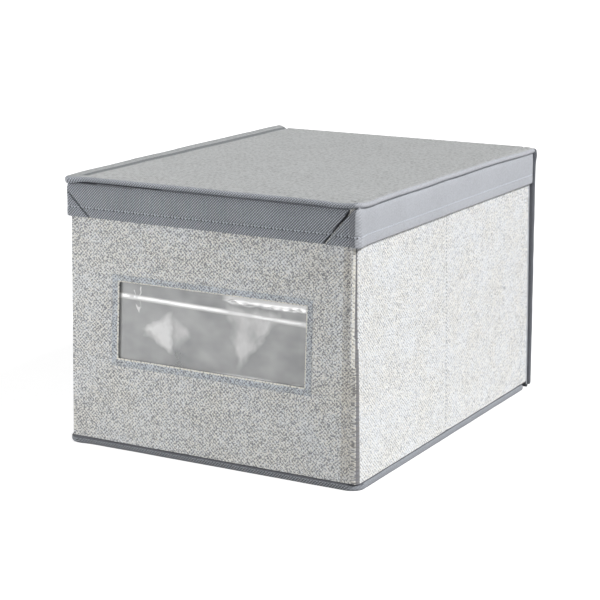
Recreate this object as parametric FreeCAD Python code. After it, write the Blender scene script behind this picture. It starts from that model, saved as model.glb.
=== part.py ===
import FreeCAD, Part
import os
from FreeCAD import Vector

# A folding fabric storage box: board-stiffened walls that collapse along creases, a hinged lid
# with a hanging skirt, a clear window in the front and a loose stiff insert in the bottom.
# Millimetres. +Z is up, the window looks along -Y, and the origin is the centre of the footprint.

# Overall size of the closed box
width = 298.0
depth = 387.0
height = 248.0

# Layers of every stiffened wall, from the outside in
fabric_t = 0.8
board_t = 2.0
lining_t = 0.4

# Rounding of the front wall's upright corners
body_corner_r = 2.6

# Lid: a thin panel inside a thick bound edge, with a skirt hanging below the edge
edge_w = 5.0
edge_h = 7.5
edge_corner_r = 8.0
edge_round = 2.2
edge_overhang = 1.8
panel_drop = 0.6
skirt_t = 1.4
skirt_gap = 2.3
skirt_drop = 36.0
skirt_corner_r = 3.0

# Bottom seam bound with tape, and the bound vertical seams at the back
seam_h = 6.6
seam_out = 2.0
seam_corner_r = 10.0
seam_round = 1.6
seam_stop = 10.0
rear_tape_z0 = 3.0
rear_tape_drop = 1.0
rear_tape_round = 1.2
rear_leg_w = 7.0
rear_leg_t = 0.6

# Window in the front wall
window_w = 192.0
window_h = 72.0
window_z = 120.0
window_corner_r = 1.5
film_t = 0.3
film_lap = 8.0
film_room = 1.0
lining_setback = 2.0

# Bottom cloth and the loose insert that lies on it
bottom_t = 0.8
insert_board_t = 3.0
insert_cover_t = 0.5
insert_room = 1.0

# Fold lines: how far the two sides' creases are staggered, and the gaps that let things move
fold_offset = 25.0
crease_gap = 0.4
run_gap = 0.3

# Faces worked out from the sizes above
wall_t = fabric_t + board_t + lining_t
lid_x = width / 2
lid_front = -depth / 2
back_y = depth / 2
body_x = lid_x - edge_overhang - skirt_t - skirt_gap
front_y = lid_front + edge_overhang + skirt_t + skirt_gap
inner_x = body_x - wall_t
inner_front = front_y + wall_t
inner_back = back_y - wall_t
panel_top = height - panel_drop
panel_under = panel_top - fabric_t - board_t - lining_t
edge_under = height - edge_h
wall_z0 = seam_h + run_gap
wall_top = panel_under - run_gap
half_len = (inner_back - inner_front - fold_offset) / 2
right_return_y = inner_back - fold_offset
right_crease_y = inner_front + half_len
left_return_y = inner_front + fold_offset
left_crease_y = inner_back - half_len
lid_rear = inner_back - run_gap


def box(x0, x1, y0, y1, z0, z1):
    """A block between two corners, given in any order along X."""
    low, high = min(x0, x1), max(x0, x1)
    return Part.makeBox(high - low, y1 - y0, z1 - z0, Vector(low, y0, z0))


def save(name, shape):
    """Write one piece to its own file."""
    shape = shape.removeSplitter()
    shape.exportStep(os.path.join("parts", name + ".step"))
    print(f"{name}: {len(shape.Solids)} solid, {shape.Volume / 1000:.2f} cm3")


def rounded_plan(half_x, y0, y1, corner_r, z0, z1):
    """A block with its two front upright corners rounded."""
    block = box(-half_x, half_x, y0, y1, z0, z1)
    if corner_r <= 0:
        return block
    uprights = [
        e for e in block.Edges
        if abs(e.Vertexes[0].Z - e.Vertexes[1].Z) > 1e-6 and e.CenterOfMass.y < y0 + 1e-6
    ]
    return block.makeFillet(corner_r, uprights)


def u_strip(half_x, y0, y1, corner_r, thickness, z0, z1, rounded=0):
    """An upright strip down both sides and across the front, rounded outside and square inside."""
    outside = rounded_plan(half_x, y0, y1, corner_r, z0, z1)
    if rounded > 0:
        level = [e for e in outside.Edges if abs(e.Vertexes[0].Z - e.Vertexes[-1].Z) < 1e-6]
        outside = outside.makeFillet(rounded, [e for e in level if e.CenterOfMass.y < y1 - 1e-6])
    inner_half_x = half_x - thickness
    return outside.cut(box(-inner_half_x, inner_half_x, y0 + thickness, y1 + 1, z0 - 1, z1 + 1))


def save_mitred(name, strip, half_x, y0, thickness):
    """Write such a strip as the runs that are sewn together at its mitred front corners."""
    past = thickness + 1
    corners = [
        Vector(-half_x - past, y0 - past, 0), Vector(half_x + past, y0 - past, 0),
        Vector(half_x - past, y0 + past, 0), Vector(-half_x + past, y0 + past, 0),
    ]
    wedge = Part.Face(Part.makePolygon(corners + corners[:1])).extrude(Vector(0, 0, 3 * height))
    wedge.translate(Vector(0, 0, -height))
    save(f"{name}_front", strip.common(wedge))
    for solid in strip.cut(wedge).Solids:
        side = "left" if solid.CenterOfMass.x < 0 else "right"
        save(f"{name}_{side}", solid)


def side_layers(sign, y0, y1, z0):
    """Fabric, board and lining of one flat stretch of a side wall, on the side that sign names."""
    face = sign * body_x
    fabric_in = sign * (body_x - fabric_t)
    board_in = sign * (body_x - fabric_t - board_t)
    lining_in = sign * inner_x
    under_lip = wall_top - fabric_t
    fabric = box(face, fabric_in, y0, y1, z0, wall_top)
    lip = box(fabric_in, lining_in, y0, y1, under_lip, wall_top)
    board = box(fabric_in, board_in, y0, y1, z0, under_lip)
    lining = box(board_in, lining_in, y0, y1, z0, under_lip)
    return {"fabric": fabric.fuse(lip), "board": board, "lining": lining}


def save_layers(prefix, layers):
    """Write the three layers of one wall."""
    for layer, shape in layers.items():
        save(f"{prefix}_{layer}", shape)


def window_cut(grow, corner_r):
    """A block through the front wall, wider and taller than the window by grow on each side."""
    half_w = window_w / 2 + grow
    half_h = window_h / 2 + grow
    cut = box(-half_w, half_w, front_y - 1, inner_front + 1, window_z - half_h, window_z + half_h)
    if corner_r <= 0:
        return cut
    along = [e for e in cut.Edges if abs(e.Vertexes[0].Y - e.Vertexes[1].Y) > 1e-6]
    return cut.makeFillet(corner_r, along)


def front_wall():
    """The front wall's three layers with the window cut through them, and the clear film."""
    fabric_back = front_y + fabric_t
    board_back = fabric_back + board_t
    under_lip = wall_top - fabric_t
    turn_x = body_x - fabric_t
    whole = rounded_plan(body_x, front_y, inner_front, body_corner_r, wall_z0, wall_top)
    core_r = body_corner_r - fabric_t
    core = rounded_plan(turn_x, fabric_back, inner_front, core_r, wall_z0, under_lip)
    fabric = whole.cut(core)
    board = core.common(box(-body_x, body_x, front_y, board_back, wall_z0, wall_top))
    lining = core.cut(board)
    save("front_fabric", fabric.cut(window_cut(0, window_corner_r)))
    save("front_board", board.cut(window_cut(film_lap + film_room, 0)))
    save("front_lining", lining.cut(window_cut(lining_setback, window_corner_r)))
    half_w = window_w / 2 + film_lap
    half_h = window_h / 2 + film_lap
    film = box(
        -half_w, half_w, fabric_back, fabric_back + film_t, window_z - half_h, window_z + half_h
    )
    save("window_film", film)


def back_wall():
    """The back wall's layers. Its fabric runs up to the lid's hinge line."""
    turn_x = body_x - fabric_t
    fabric_face = back_y - fabric_t
    board_face = fabric_face - board_t
    under_lip = wall_top - fabric_t
    fabric = box(-body_x, body_x, fabric_face, back_y, seam_h, height)
    for sign in (-1, 1):
        fabric = fabric.fuse(
            box(sign * turn_x, sign * body_x, inner_back, fabric_face, seam_h, under_lip)
        )
    fabric = fabric.fuse(box(-body_x, body_x, inner_back, fabric_face, under_lip, wall_top))
    save("back_fabric", fabric)
    save("back_board", box(-turn_x, turn_x, board_face, fabric_face, seam_h, under_lip))
    save("back_lining", box(-turn_x, turn_x, inner_back, board_face, seam_h, under_lip))


def side_walls():
    """Both side walls: two halves each, and the short fixed return at one end of each."""
    half_gap = crease_gap / 2
    right_rear = side_layers(1, right_crease_y + half_gap, right_return_y - half_gap, wall_z0)
    right_front = side_layers(1, inner_front + half_gap, right_crease_y - half_gap, wall_z0)
    left_rear = side_layers(-1, left_crease_y + half_gap, inner_back - half_gap, wall_z0)
    left_front = side_layers(-1, left_return_y + half_gap, left_crease_y - half_gap, wall_z0)
    save_layers("side_right_rear", right_rear)
    save_layers("side_right_front", right_front)
    save_layers("side_left_rear", left_rear)
    save_layers("side_left_front", left_front)
    save_layers("rear_return", side_layers(1, right_return_y + half_gap, inner_back, seam_h))
    save_layers("front_return", side_layers(-1, inner_front, left_return_y - half_gap, wall_z0))


def bottom_seams():
    """The tape bound round the bottom edge: one run for the front and sides, one for the back."""
    out_x = body_x + seam_out
    out_front = front_y - seam_out
    strip_w = seam_out + wall_t
    rear_start = inner_back - run_gap
    tape = u_strip(out_x, out_front, rear_start, seam_corner_r, strip_w, 0, seam_h, seam_round)
    for sign in (-1, 1):
        tape = tape.cut(
            box(sign * body_x, sign * (out_x + 1), back_y - seam_stop, back_y + 1, -1, seam_h + 1)
        )
    save_mitred("bottom_tape", tape, out_x, out_front, strip_w)
    save("rear_bottom_tape", box(-body_x, body_x, rear_start, back_y, 0, seam_h))


def rear_tapes():
    """The bound upright seams at the back corners. The right one also lies on the side wall."""
    z1 = height - rear_tape_drop
    for sign, name in ((-1, "left"), (1, "right")):
        flange = box(sign * body_x, sign * lid_x, inner_back, back_y, rear_tape_z0, z1)
        outer = [
            e for e in flange.Edges
            if abs(e.CenterOfMass.x) > lid_x - 1e-6 and abs(e.Vertexes[0].Z - e.Vertexes[1].Z) > 1
        ]
        flange = flange.makeFillet(rear_tape_round, outer)
        if sign > 0:
            leg_x = body_x + rear_leg_t
            leg_top = edge_under - run_gap
            leg = box(body_x, leg_x, inner_back - rear_leg_w, inner_back, seam_h, leg_top)
            flange = flange.fuse(leg)
        save(f"rear_tape_{name}", flange)


def base():
    """The sewn bottom cloth, and the covered board that lies loose on it."""
    room_x = inner_x - insert_room
    room_front = inner_front + insert_room
    room_back = inner_back - run_gap - insert_room
    board_z1 = bottom_t + insert_board_t
    cover_z1 = board_z1 + insert_cover_t
    save("bottom_cloth", box(-inner_x, inner_x, inner_front, inner_back - run_gap, 0, bottom_t))
    board = box(
        -room_x + insert_cover_t, room_x - insert_cover_t,
        room_front + insert_cover_t, room_back - insert_cover_t, bottom_t, board_z1,
    )
    cover = box(-room_x, room_x, room_front, room_back, bottom_t, cover_z1).cut(board)
    save("insert_board", board)
    save("insert_cover", cover)


def lid():
    """The lid: a fabric-covered board inside a thick bound edge, with a skirt hanging from it."""
    panel_x = lid_x - edge_w
    panel_front = lid_front + edge_w
    panel_rear = back_y - fabric_t - run_gap
    levels = {
        "lid_top": (panel_top - fabric_t, panel_top),
        "lid_board": (panel_under + lining_t, panel_top - fabric_t),
        "lid_lining": (panel_under, panel_under + lining_t),
    }
    for name, (z0, z1) in levels.items():
        layer = box(-panel_x, panel_x, panel_front, panel_rear, z0, z1)
        for sign in (-1, 1):
            notch = box(
                sign * (body_x - run_gap), sign * (lid_x + 1), lid_rear, back_y + 1, z0 - 1, z1 + 1
            )
            layer = layer.cut(notch)
        save(name, layer)
    edge = u_strip(
        lid_x, lid_front, lid_rear, edge_corner_r, edge_w, edge_under, height, edge_round
    )
    save_mitred("lid_edge", edge, lid_x, lid_front, edge_w)
    skirt_x = lid_x - edge_overhang
    skirt_front = lid_front + edge_overhang
    skirt_z0 = height - skirt_drop
    skirt = u_strip(skirt_x, skirt_front, lid_rear, skirt_corner_r, skirt_t, skirt_z0, edge_under)
    save_mitred("lid_skirt", skirt, skirt_x, skirt_front, skirt_t)


os.makedirs("parts", exist_ok=True)
front_wall()
back_wall()
side_walls()
bottom_seams()
rear_tapes()
base()
lid()
print(f"right crease at y {right_crease_y:.2f}, left crease at y {left_crease_y:.2f}")
print(f"inner faces x {inner_x:.2f}, y {inner_front:.2f} and {inner_back:.2f}, walls to {wall_top:.2f}")
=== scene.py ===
# %% [markdown]
# # A folding fabric storage box
# The box has board-stiffened walls in a woven cloth, a lid of grey non-woven cloth with a skirt, dark bound
# seams and a clear window. The solids that carry and join these pieces are loaded first. They are the
# frame: every cloth made below is fitted over them, and some pieces ride on their bodies.
# %% Load the frame
import math

import bmesh
import bpy
from mathutils import Matrix, Vector, noise


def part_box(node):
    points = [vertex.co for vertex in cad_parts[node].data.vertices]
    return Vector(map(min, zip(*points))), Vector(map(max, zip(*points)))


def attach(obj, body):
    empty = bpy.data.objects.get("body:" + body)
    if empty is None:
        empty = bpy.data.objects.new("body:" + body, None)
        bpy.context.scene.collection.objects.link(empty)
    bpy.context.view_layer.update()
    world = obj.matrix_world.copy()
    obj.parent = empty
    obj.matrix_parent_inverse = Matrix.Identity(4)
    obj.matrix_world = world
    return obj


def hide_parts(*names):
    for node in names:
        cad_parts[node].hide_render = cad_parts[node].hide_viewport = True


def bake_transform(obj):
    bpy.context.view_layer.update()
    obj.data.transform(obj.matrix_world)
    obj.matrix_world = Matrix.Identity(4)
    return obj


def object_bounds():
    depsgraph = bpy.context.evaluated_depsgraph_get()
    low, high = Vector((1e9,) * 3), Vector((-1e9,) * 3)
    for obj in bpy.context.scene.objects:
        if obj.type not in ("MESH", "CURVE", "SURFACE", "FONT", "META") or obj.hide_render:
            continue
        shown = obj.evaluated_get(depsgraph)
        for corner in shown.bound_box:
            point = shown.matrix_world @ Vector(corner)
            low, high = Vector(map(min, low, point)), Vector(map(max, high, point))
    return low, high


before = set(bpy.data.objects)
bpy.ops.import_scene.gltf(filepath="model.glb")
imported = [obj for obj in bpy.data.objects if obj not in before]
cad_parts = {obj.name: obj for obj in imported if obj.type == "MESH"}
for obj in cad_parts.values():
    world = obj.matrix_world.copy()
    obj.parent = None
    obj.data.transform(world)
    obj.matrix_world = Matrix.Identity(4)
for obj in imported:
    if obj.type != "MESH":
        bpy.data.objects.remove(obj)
cad_low, cad_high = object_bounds()
MM = 0.001
bpy.context.scene.view_settings.view_transform = "Standard"
print("solids:", len(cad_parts), "box:", [round(v, 4) for v in cad_high - cad_low])

# %% [markdown]
# ## Camera
# A photograph's camera can be found by eye or by fitting. Here it was fitted: the box's corners
# give the distance, the angles and the focal length at once. The lens follows from the focal
# length in image widths, because a camera's sensor is as wide as the image.
# %% Write down the fitted camera
IMAGE_SIDE = 600
FOCAL_PIXELS = 1814.4
CAMERA_PLACE = Vector((0.81104, -1.49881, 0.50760))
CAMERA_PITCH = math.radians(13.048)
CAMERA_ROLL = math.radians(0.315)
CAMERA_YAW = math.radians(-28.811)
SENSOR = 36.0
print("camera", round(CAMERA_PLACE.length, 2), "m from the middle of the floor")

# %% [markdown]
# A camera looks along its own -Z axis with Y upwards. So its matrix is built from three
# directions: right, up and back.
# %% Place the camera
def make_camera():
    """A camera that looks from the front right and a little down."""
    forward = Vector((
        math.sin(CAMERA_YAW) * math.cos(CAMERA_PITCH),
        math.cos(CAMERA_YAW) * math.cos(CAMERA_PITCH),
        -math.sin(CAMERA_PITCH),
    ))
    level = Vector((math.cos(CAMERA_YAW), -math.sin(CAMERA_YAW), 0))
    upright = level.cross(forward)
    right = level * math.cos(CAMERA_ROLL) + upright * math.sin(CAMERA_ROLL)
    up = upright * math.cos(CAMERA_ROLL) - level * math.sin(CAMERA_ROLL)
    data = bpy.data.cameras.new("photo_camera")
    data.sensor_width = SENSOR
    data.lens = FOCAL_PIXELS / IMAGE_SIDE * SENSOR
    camera = bpy.data.objects.new("photo_camera", data)
    bpy.context.scene.collection.objects.link(camera)
    turn = Matrix((right, up, -forward)).transposed()
    camera.matrix_world = Matrix.Translation(CAMERA_PLACE) @ turn.to_4x4()
    bpy.context.scene.camera = camera
    return data


print("lens:", round(make_camera().lens, 1), "mm")

# %% [markdown]
# ## Light and floor
# Soft studio light can come from many lamps, or from a pale world, one sun and a few helpers. The
# second is easier to keep level. The world fills every side a little. A wide sun straight from
# the right lights that side and the top, and the front gets none of it. A soft lamp on the left
# fills the front, and a strip lamp low in front is there for the clear window to reflect.
# %% Set the light levels
WORLD_LEVEL = 0.13
SUN_LEVEL = 3.05
SUN_FROM = Vector((0.72, 0.0, 0.67))
SUN_ANGLE = math.radians(16)
STRIP_POWER = 3.5
STRIP_PLACE = Vector((-0.95, -1.75, 0.16))
STRIP_SIZE = (0.50, 0.36)
FILL_POWER = 3.6
FILL_PLACE = Vector((-0.62, -1.0, 0.42))
FILL_SIZE = 0.45
FLOOR_GREY = 0.45
FLOOR_ADDED = 0.84
WHITE = (1, 1, 1, 1)
print("sun", SUN_LEVEL, "fill", FILL_POWER, "strip", STRIP_POWER)

# %% [markdown]
# A white world would light the box from all sides and wash it out. So it is white only for the
# rays that look at it, and dim for the rays that light the box. Light Path tells them apart.
# %% Make the world
def camera_like_rays(nodes, links):
    """1 for camera, glossy and transmission rays, and 0 for the rays that light the box."""
    path = nodes.new("ShaderNodeLightPath")
    total = None
    for name in ("Is Camera Ray", "Is Glossy Ray", "Is Transmission Ray"):
        if total is None:
            total = path.outputs[name]
            continue
        larger = nodes.new("ShaderNodeMath")
        larger.operation = "MAXIMUM"
        links.new(total, larger.inputs[0])
        links.new(path.outputs[name], larger.inputs[1])
        total = larger.outputs[0]
    return total


def make_world():
    """A plain world: white to look at, and dimmer as a light."""
    world = bpy.data.worlds.new("studio")
    bpy.context.scene.world = world
    world.use_nodes = True
    nodes, links = world.node_tree.nodes, world.node_tree.links
    seen = nodes.new("ShaderNodeBackground")
    seen.inputs["Color"].default_value = WHITE
    seen.inputs["Strength"].default_value = 1.0
    light = nodes["Background"]
    light.inputs["Color"].default_value = WHITE
    light.inputs["Strength"].default_value = WORLD_LEVEL
    mix = nodes.new("ShaderNodeMixShader")
    links.new(camera_like_rays(nodes, links), mix.inputs["Fac"])
    links.new(light.outputs[0], mix.inputs[1])
    links.new(seen.outputs[0], mix.inputs[2])
    links.new(mix.outputs[0], nodes["World Output"].inputs["Surface"])


make_world()
print("world", WORLD_LEVEL)

# %% [markdown]
# The floor has to look white, take the box's shadow and put no extra light on the box. It is grey
# as a surface, and adds white only where a camera, a gloss or a see-through ray meets it.
# %% Lay the floor
def make_floor():
    """A wide floor under the box."""
    reach = 12.0
    mesh = bpy.data.meshes.new("floor")
    corners = [(-reach, -reach, 0), (reach, -reach, 0), (reach, reach, 0), (-reach, reach, 0)]
    mesh.from_pydata(corners, [], [(0, 1, 2, 3)])
    floor = bpy.data.objects.new("floor", mesh)
    bpy.context.scene.collection.objects.link(floor)
    material = bpy.data.materials.new("floor_white")
    material.use_nodes = True
    nodes, links = material.node_tree.nodes, material.node_tree.links
    paint = nodes["Principled BSDF"]
    paint.inputs["Base Color"].default_value = (FLOOR_GREY,) * 3 + (1,)
    paint.inputs["Roughness"].default_value = 0.9
    paint.inputs["Emission Strength"].default_value = FLOOR_ADDED
    links.new(camera_like_rays(nodes, links), paint.inputs["Emission Color"])
    mesh.materials.append(material)


make_floor()
print("floor", FLOOR_GREY, "added", FLOOR_ADDED)

# %% [markdown]
# A lamp shines along its own -Z axis, so one helper turns each lamp towards a point. The camera
# doesn't see the lamps, but glossy film does.
# %% Place the lamps
def make_lamp(name, kind, place, target, **settings):
    """A lamp that points from its place to a target."""
    data = bpy.data.lights.new(name, kind)
    for key, value in settings.items():
        setattr(data, key, value)
    lamp = bpy.data.objects.new(name, data)
    bpy.context.scene.collection.objects.link(lamp)
    lamp.location = place
    lamp.rotation_mode = "QUATERNION"
    lamp.rotation_quaternion = (place - target).to_track_quat("Z", "Y")
    lamp.visible_camera = False
    return lamp


box_middle = (cad_low + cad_high) / 2
make_lamp("sun", "SUN", SUN_FROM, Vector(), energy=SUN_LEVEL, angle=SUN_ANGLE)
make_lamp(
    "window_strip", "AREA", STRIP_PLACE, box_middle,
    energy=STRIP_POWER, shape="RECTANGLE", size=STRIP_SIZE[0], size_y=STRIP_SIZE[1],
)
make_lamp(
    "left_fill", "AREA", FILL_PLACE, box_middle,
    energy=FILL_POWER, shape="SQUARE", size=FILL_SIZE,
)
print("lamps:", len(bpy.data.lights))

# %% [markdown]
# ## Sizes taken from the frame
# A cloth must lie on its board, so its size is read from the solids and never typed in again.
# From here on, lengths are in millimetres, which is how such a box is cut.
# %% Read the sizes
def span(node, axis):
    """Lowest and highest place of a solid along one axis, in millimetres."""
    low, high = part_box(node)
    return low[axis] / MM, high[axis] / MM


X, Y, Z = 0, 1, 2
BODY_X = span("front_fabric", X)[1]
FRONT_Y = span("front_fabric", Y)[0]
BACK_Y = span("back_fabric", Y)[1]
WALL_T = span("front_fabric", Y)[1] - FRONT_Y
INNER_X = BODY_X - WALL_T
INNER_FRONT = FRONT_Y + WALL_T
INNER_BACK = span("back_fabric", Y)[0]
WALL_Z0, WALL_TOP = span("front_fabric", Z)
SEAM_H = span("bottom_tape_front", Z)[1]
SEAM_X = span("bottom_tape_right", X)[1]
SEAM_Y = span("bottom_tape_front", Y)[0]
print("body half width", round(BODY_X, 1), "wall", round(WALL_T, 1), "mm")

# %% [markdown]
# The lid is measured in the same way: its bound edge, its panel and its skirt.
# %% Measure the lid
LID_X = span("lid_edge_right", X)[1]
LID_Y = span("lid_edge_front", Y)[0]
LID_REAR = span("lid_edge_right", Y)[1]
EDGE_UNDER, TOP = span("lid_edge_front", Z)
SKIRT_X = span("lid_skirt_right", X)[1]
SKIRT_Y = span("lid_skirt_front", Y)[0]
SKIRT_Z0 = span("lid_skirt_front", Z)[0]
PANEL_TOP = span("lid_top", Z)[1]
PANEL_UNDER = span("lid_lining", Z)[0]
print("lid half width", round(LID_X, 1), "top", round(TOP, 1), "mm")

# %% [markdown]
# Each side wall folds at its crease and at one more line, where the short return strip ends. A
# crease lies midway between the two solids that meet there. The window is found from its film,
# which laps behind the cloth all round.
# %% Find the fold lines and the window
RIGHT_FOLD = span("rear_return_fabric", Y)[0]
RIGHT_CREASE = (span("side_right_rear_fabric", Y)[0] + span("side_right_front_fabric", Y)[1]) / 2
LEFT_CREASE = (span("side_left_rear_fabric", Y)[0] + span("side_left_front_fabric", Y)[1]) / 2
LEFT_FOLD = (span("front_return_fabric", Y)[1] + span("side_left_front_fabric", Y)[0]) / 2
FILM_LAP = 8.0
FILM_LOW, FILM_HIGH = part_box("window_film")
WINDOW_X = FILM_HIGH.x / MM - FILM_LAP
WINDOW_Z0 = FILM_LOW.z / MM + FILM_LAP
WINDOW_Z1 = FILM_HIGH.z / MM - FILM_LAP
CORNER_R = 1.2
print("creases at", round(RIGHT_CREASE, 1), "and", round(LEFT_CREASE, 1))
print("fold lines at", round(RIGHT_FOLD, 1), "and", round(LEFT_FOLD, 1))

# %% [markdown]
# ## Cloth patterns as arithmetic
# A weave can be an image, a pile of nodes linked one by one, or an expression. Expressions read
# best, so this small class wraps a socket and lets sums and products add their own Math nodes.
# %% A class for shader arithmetic
class Wire:
    """A number that flows through a material. Arithmetic on it adds Math nodes."""

    def __init__(self, tree, socket):
        self.tree = tree
        self.socket = socket

    def math(self, operation, *others):
        node = self.tree.nodes.new("ShaderNodeMath")
        node.operation = operation
        for slot_in, value in zip(node.inputs, (self, *others)):
            connect(self.tree, value, slot_in)
        return Wire(self.tree, node.outputs[0])

    def __add__(self, other):
        return self.math("ADD", other)

    def __sub__(self, other):
        return self.math("SUBTRACT", other)

    def __mul__(self, other):
        return self.math("MULTIPLY", other)

    def __truediv__(self, other):
        return self.math("DIVIDE", other)

    def __gt__(self, other):
        return self.math("GREATER_THAN", other)

    __radd__ = __add__
    __rmul__ = __mul__

    def __rsub__(self, other):
        return (self * -1.0) + other

    def clamped(self):
        return self.math("MAXIMUM", 0.0).math("MINIMUM", 1.0)


def connect(tree, value, slot_in):
    """Link a wire or a socket to an input, or set the input to a plain value."""
    if isinstance(value, Wire):
        tree.links.new(value.socket, slot_in)
    elif isinstance(value, bpy.types.NodeSocket):
        tree.links.new(value, slot_in)
    else:
        slot_in.default_value = value


print("shader arithmetic ready")

# %% [markdown]
# A colour ramp turns a number into a colour. A new one comes with two stops, so all but one are
# taken away before its own are set.
# %% Set a ramp's colours
def set_stops(ramp, stops):
    """Give a colour ramp its stops, as (place, grey) or (place, (red, green, blue))."""
    while len(ramp.elements) > 1:
        ramp.elements.remove(ramp.elements[-1])
    for index, (place, colour) in enumerate(stops):
        element = ramp.elements[0] if index == 0 else ramp.elements.new(place)
        element.position = place
        rgb = colour if isinstance(colour, tuple) else (colour,) * 3
        element.color = (*rgb, 1)


print("ramp helper ready")

# %% [markdown]
# A finish is one material: its shader, and the nodes before it. Numbers that are the same all
# over go straight onto the shader when the finish is made. The add method makes any node from its
# type, its settings and its inputs, and the short methods below it name the few nodes that cloth
# needs.
# %% A class for one finish
class Finish:
    """One material. Its add method makes any node from its type, settings and inputs."""

    def __init__(self, name, **constants):
        self.material = bpy.data.materials.new(name)
        self.material.use_nodes = True
        self.tree = self.material.node_tree
        self.shader = self.tree.nodes["Principled BSDF"]
        for socket_name, value in constants.items():
            self.shader.inputs[socket_name.replace("_", " ").title()].default_value = value

    def add(self, kind, settings=None, inputs=None, output=0):
        node = self.tree.nodes.new(kind)
        for key, value in (settings or {}).items():
            if key == "stops":
                set_stops(node.color_ramp, value)
            else:
                setattr(node, key, value)
        for key, value in (inputs or {}).items():
            connect(self.tree, value, node.inputs[key])
        return Wire(self.tree, node.outputs[output])

    def feed(self, socket_name, value):
        connect(self.tree, value, self.shader.inputs[socket_name])

    def cloth_place(self):
        """Millimetres along and up the cloth, from the map that every cloth mesh carries."""
        uv = self.add("ShaderNodeUVMap", {"uv_map": "cloth"})
        parts = self.tree.nodes.new("ShaderNodeSeparateXYZ")
        connect(self.tree, uv, parts.inputs[0])
        return Wire(self.tree, parts.outputs[0]), Wire(self.tree, parts.outputs[1])

    def vector(self, x, y, z=0.0):
        return self.add("ShaderNodeCombineXYZ", None, {0: x, 1: y, 2: z})

    def noise(self, place, scale, detail=2.0, rough=0.5):
        inputs = {"Vector": place, "Scale": scale, "Detail": detail, "Roughness": rough}
        return self.add("ShaderNodeTexNoise", {"noise_dimensions": "3D"}, inputs)

    def white(self, place):
        settings = {"noise_dimensions": "2D"}
        return self.add("ShaderNodeTexWhiteNoise", settings, {"Vector": place})

    def ramp(self, factor, stops):
        return self.add("ShaderNodeValToRGB", {"stops": stops}, {"Fac": factor})

    def blend_colours(self, factor, first, second, how="MIX"):
        settings = {"data_type": "RGBA", "blend_type": how}
        node = self.add("ShaderNodeMix", settings)
        inputs = node.socket.node.inputs
        connect(self.tree, factor, inputs[0])
        connect(self.tree, first, inputs[6])
        connect(self.tree, second, inputs[7])
        return Wire(self.tree, node.socket.node.outputs[2])

    def bump(self, height, depth):
        inputs = {"Height": height, "Distance": depth, "Strength": 1.0}
        return self.add("ShaderNodeBump", None, inputs)


print("finish helper ready")

# %% [markdown]
# ## Woven wall cloth
# The walls are covered in a plain weave of uneven yarns: cream, pale grey and some blue grey. An
# image of it would repeat. Here each yarn gets its own colour that drifts along its length, and
# at each crossing either the upright or the level yarn is on top. Fine fibres, half as wide as a
# yarn, break up what is left.
# %% Choose the yarns
YARN_PITCH = 1.75
FIBRE_CELL = 0.85
DARK_YARN = (0.36, 0.365, 0.385)
GREY_YARN = (0.68, 0.68, 0.69)
PALE_YARN = (0.89, 0.89, 0.885)
CREAM_YARN = (1.0, 0.995, 0.98)
WARM_TINT = (1.0, 0.985, 0.94)
COOL_TINT = (0.945, 0.97, 1.0)
TURNED_TONE = (0.78, 0.82, 0.875, 1)
# Painted highlight where the window's fold catches the light.
FOLD_HIGHLIGHT_TONE = (1.0, 0.98, 0.93, 1)
# Painted shade on the corner seam.
SEAM_SHADE_TONE = (0.30, 0.295, 0.31, 1)
# Tone of the sides' copy of the weave, which carries painted sunlight.
SUNLIT_SIDE_TONE = (0.96, 0.963, 0.975, 1)
# Painted shade in the hollow beside the corner seam.
HOLLOW_SHADE_TONE = (0.87, 0.85, 0.82, 1)
print("yarns", YARN_PITCH, "mm apart, fibres", FIBRE_CELL, "mm")

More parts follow.
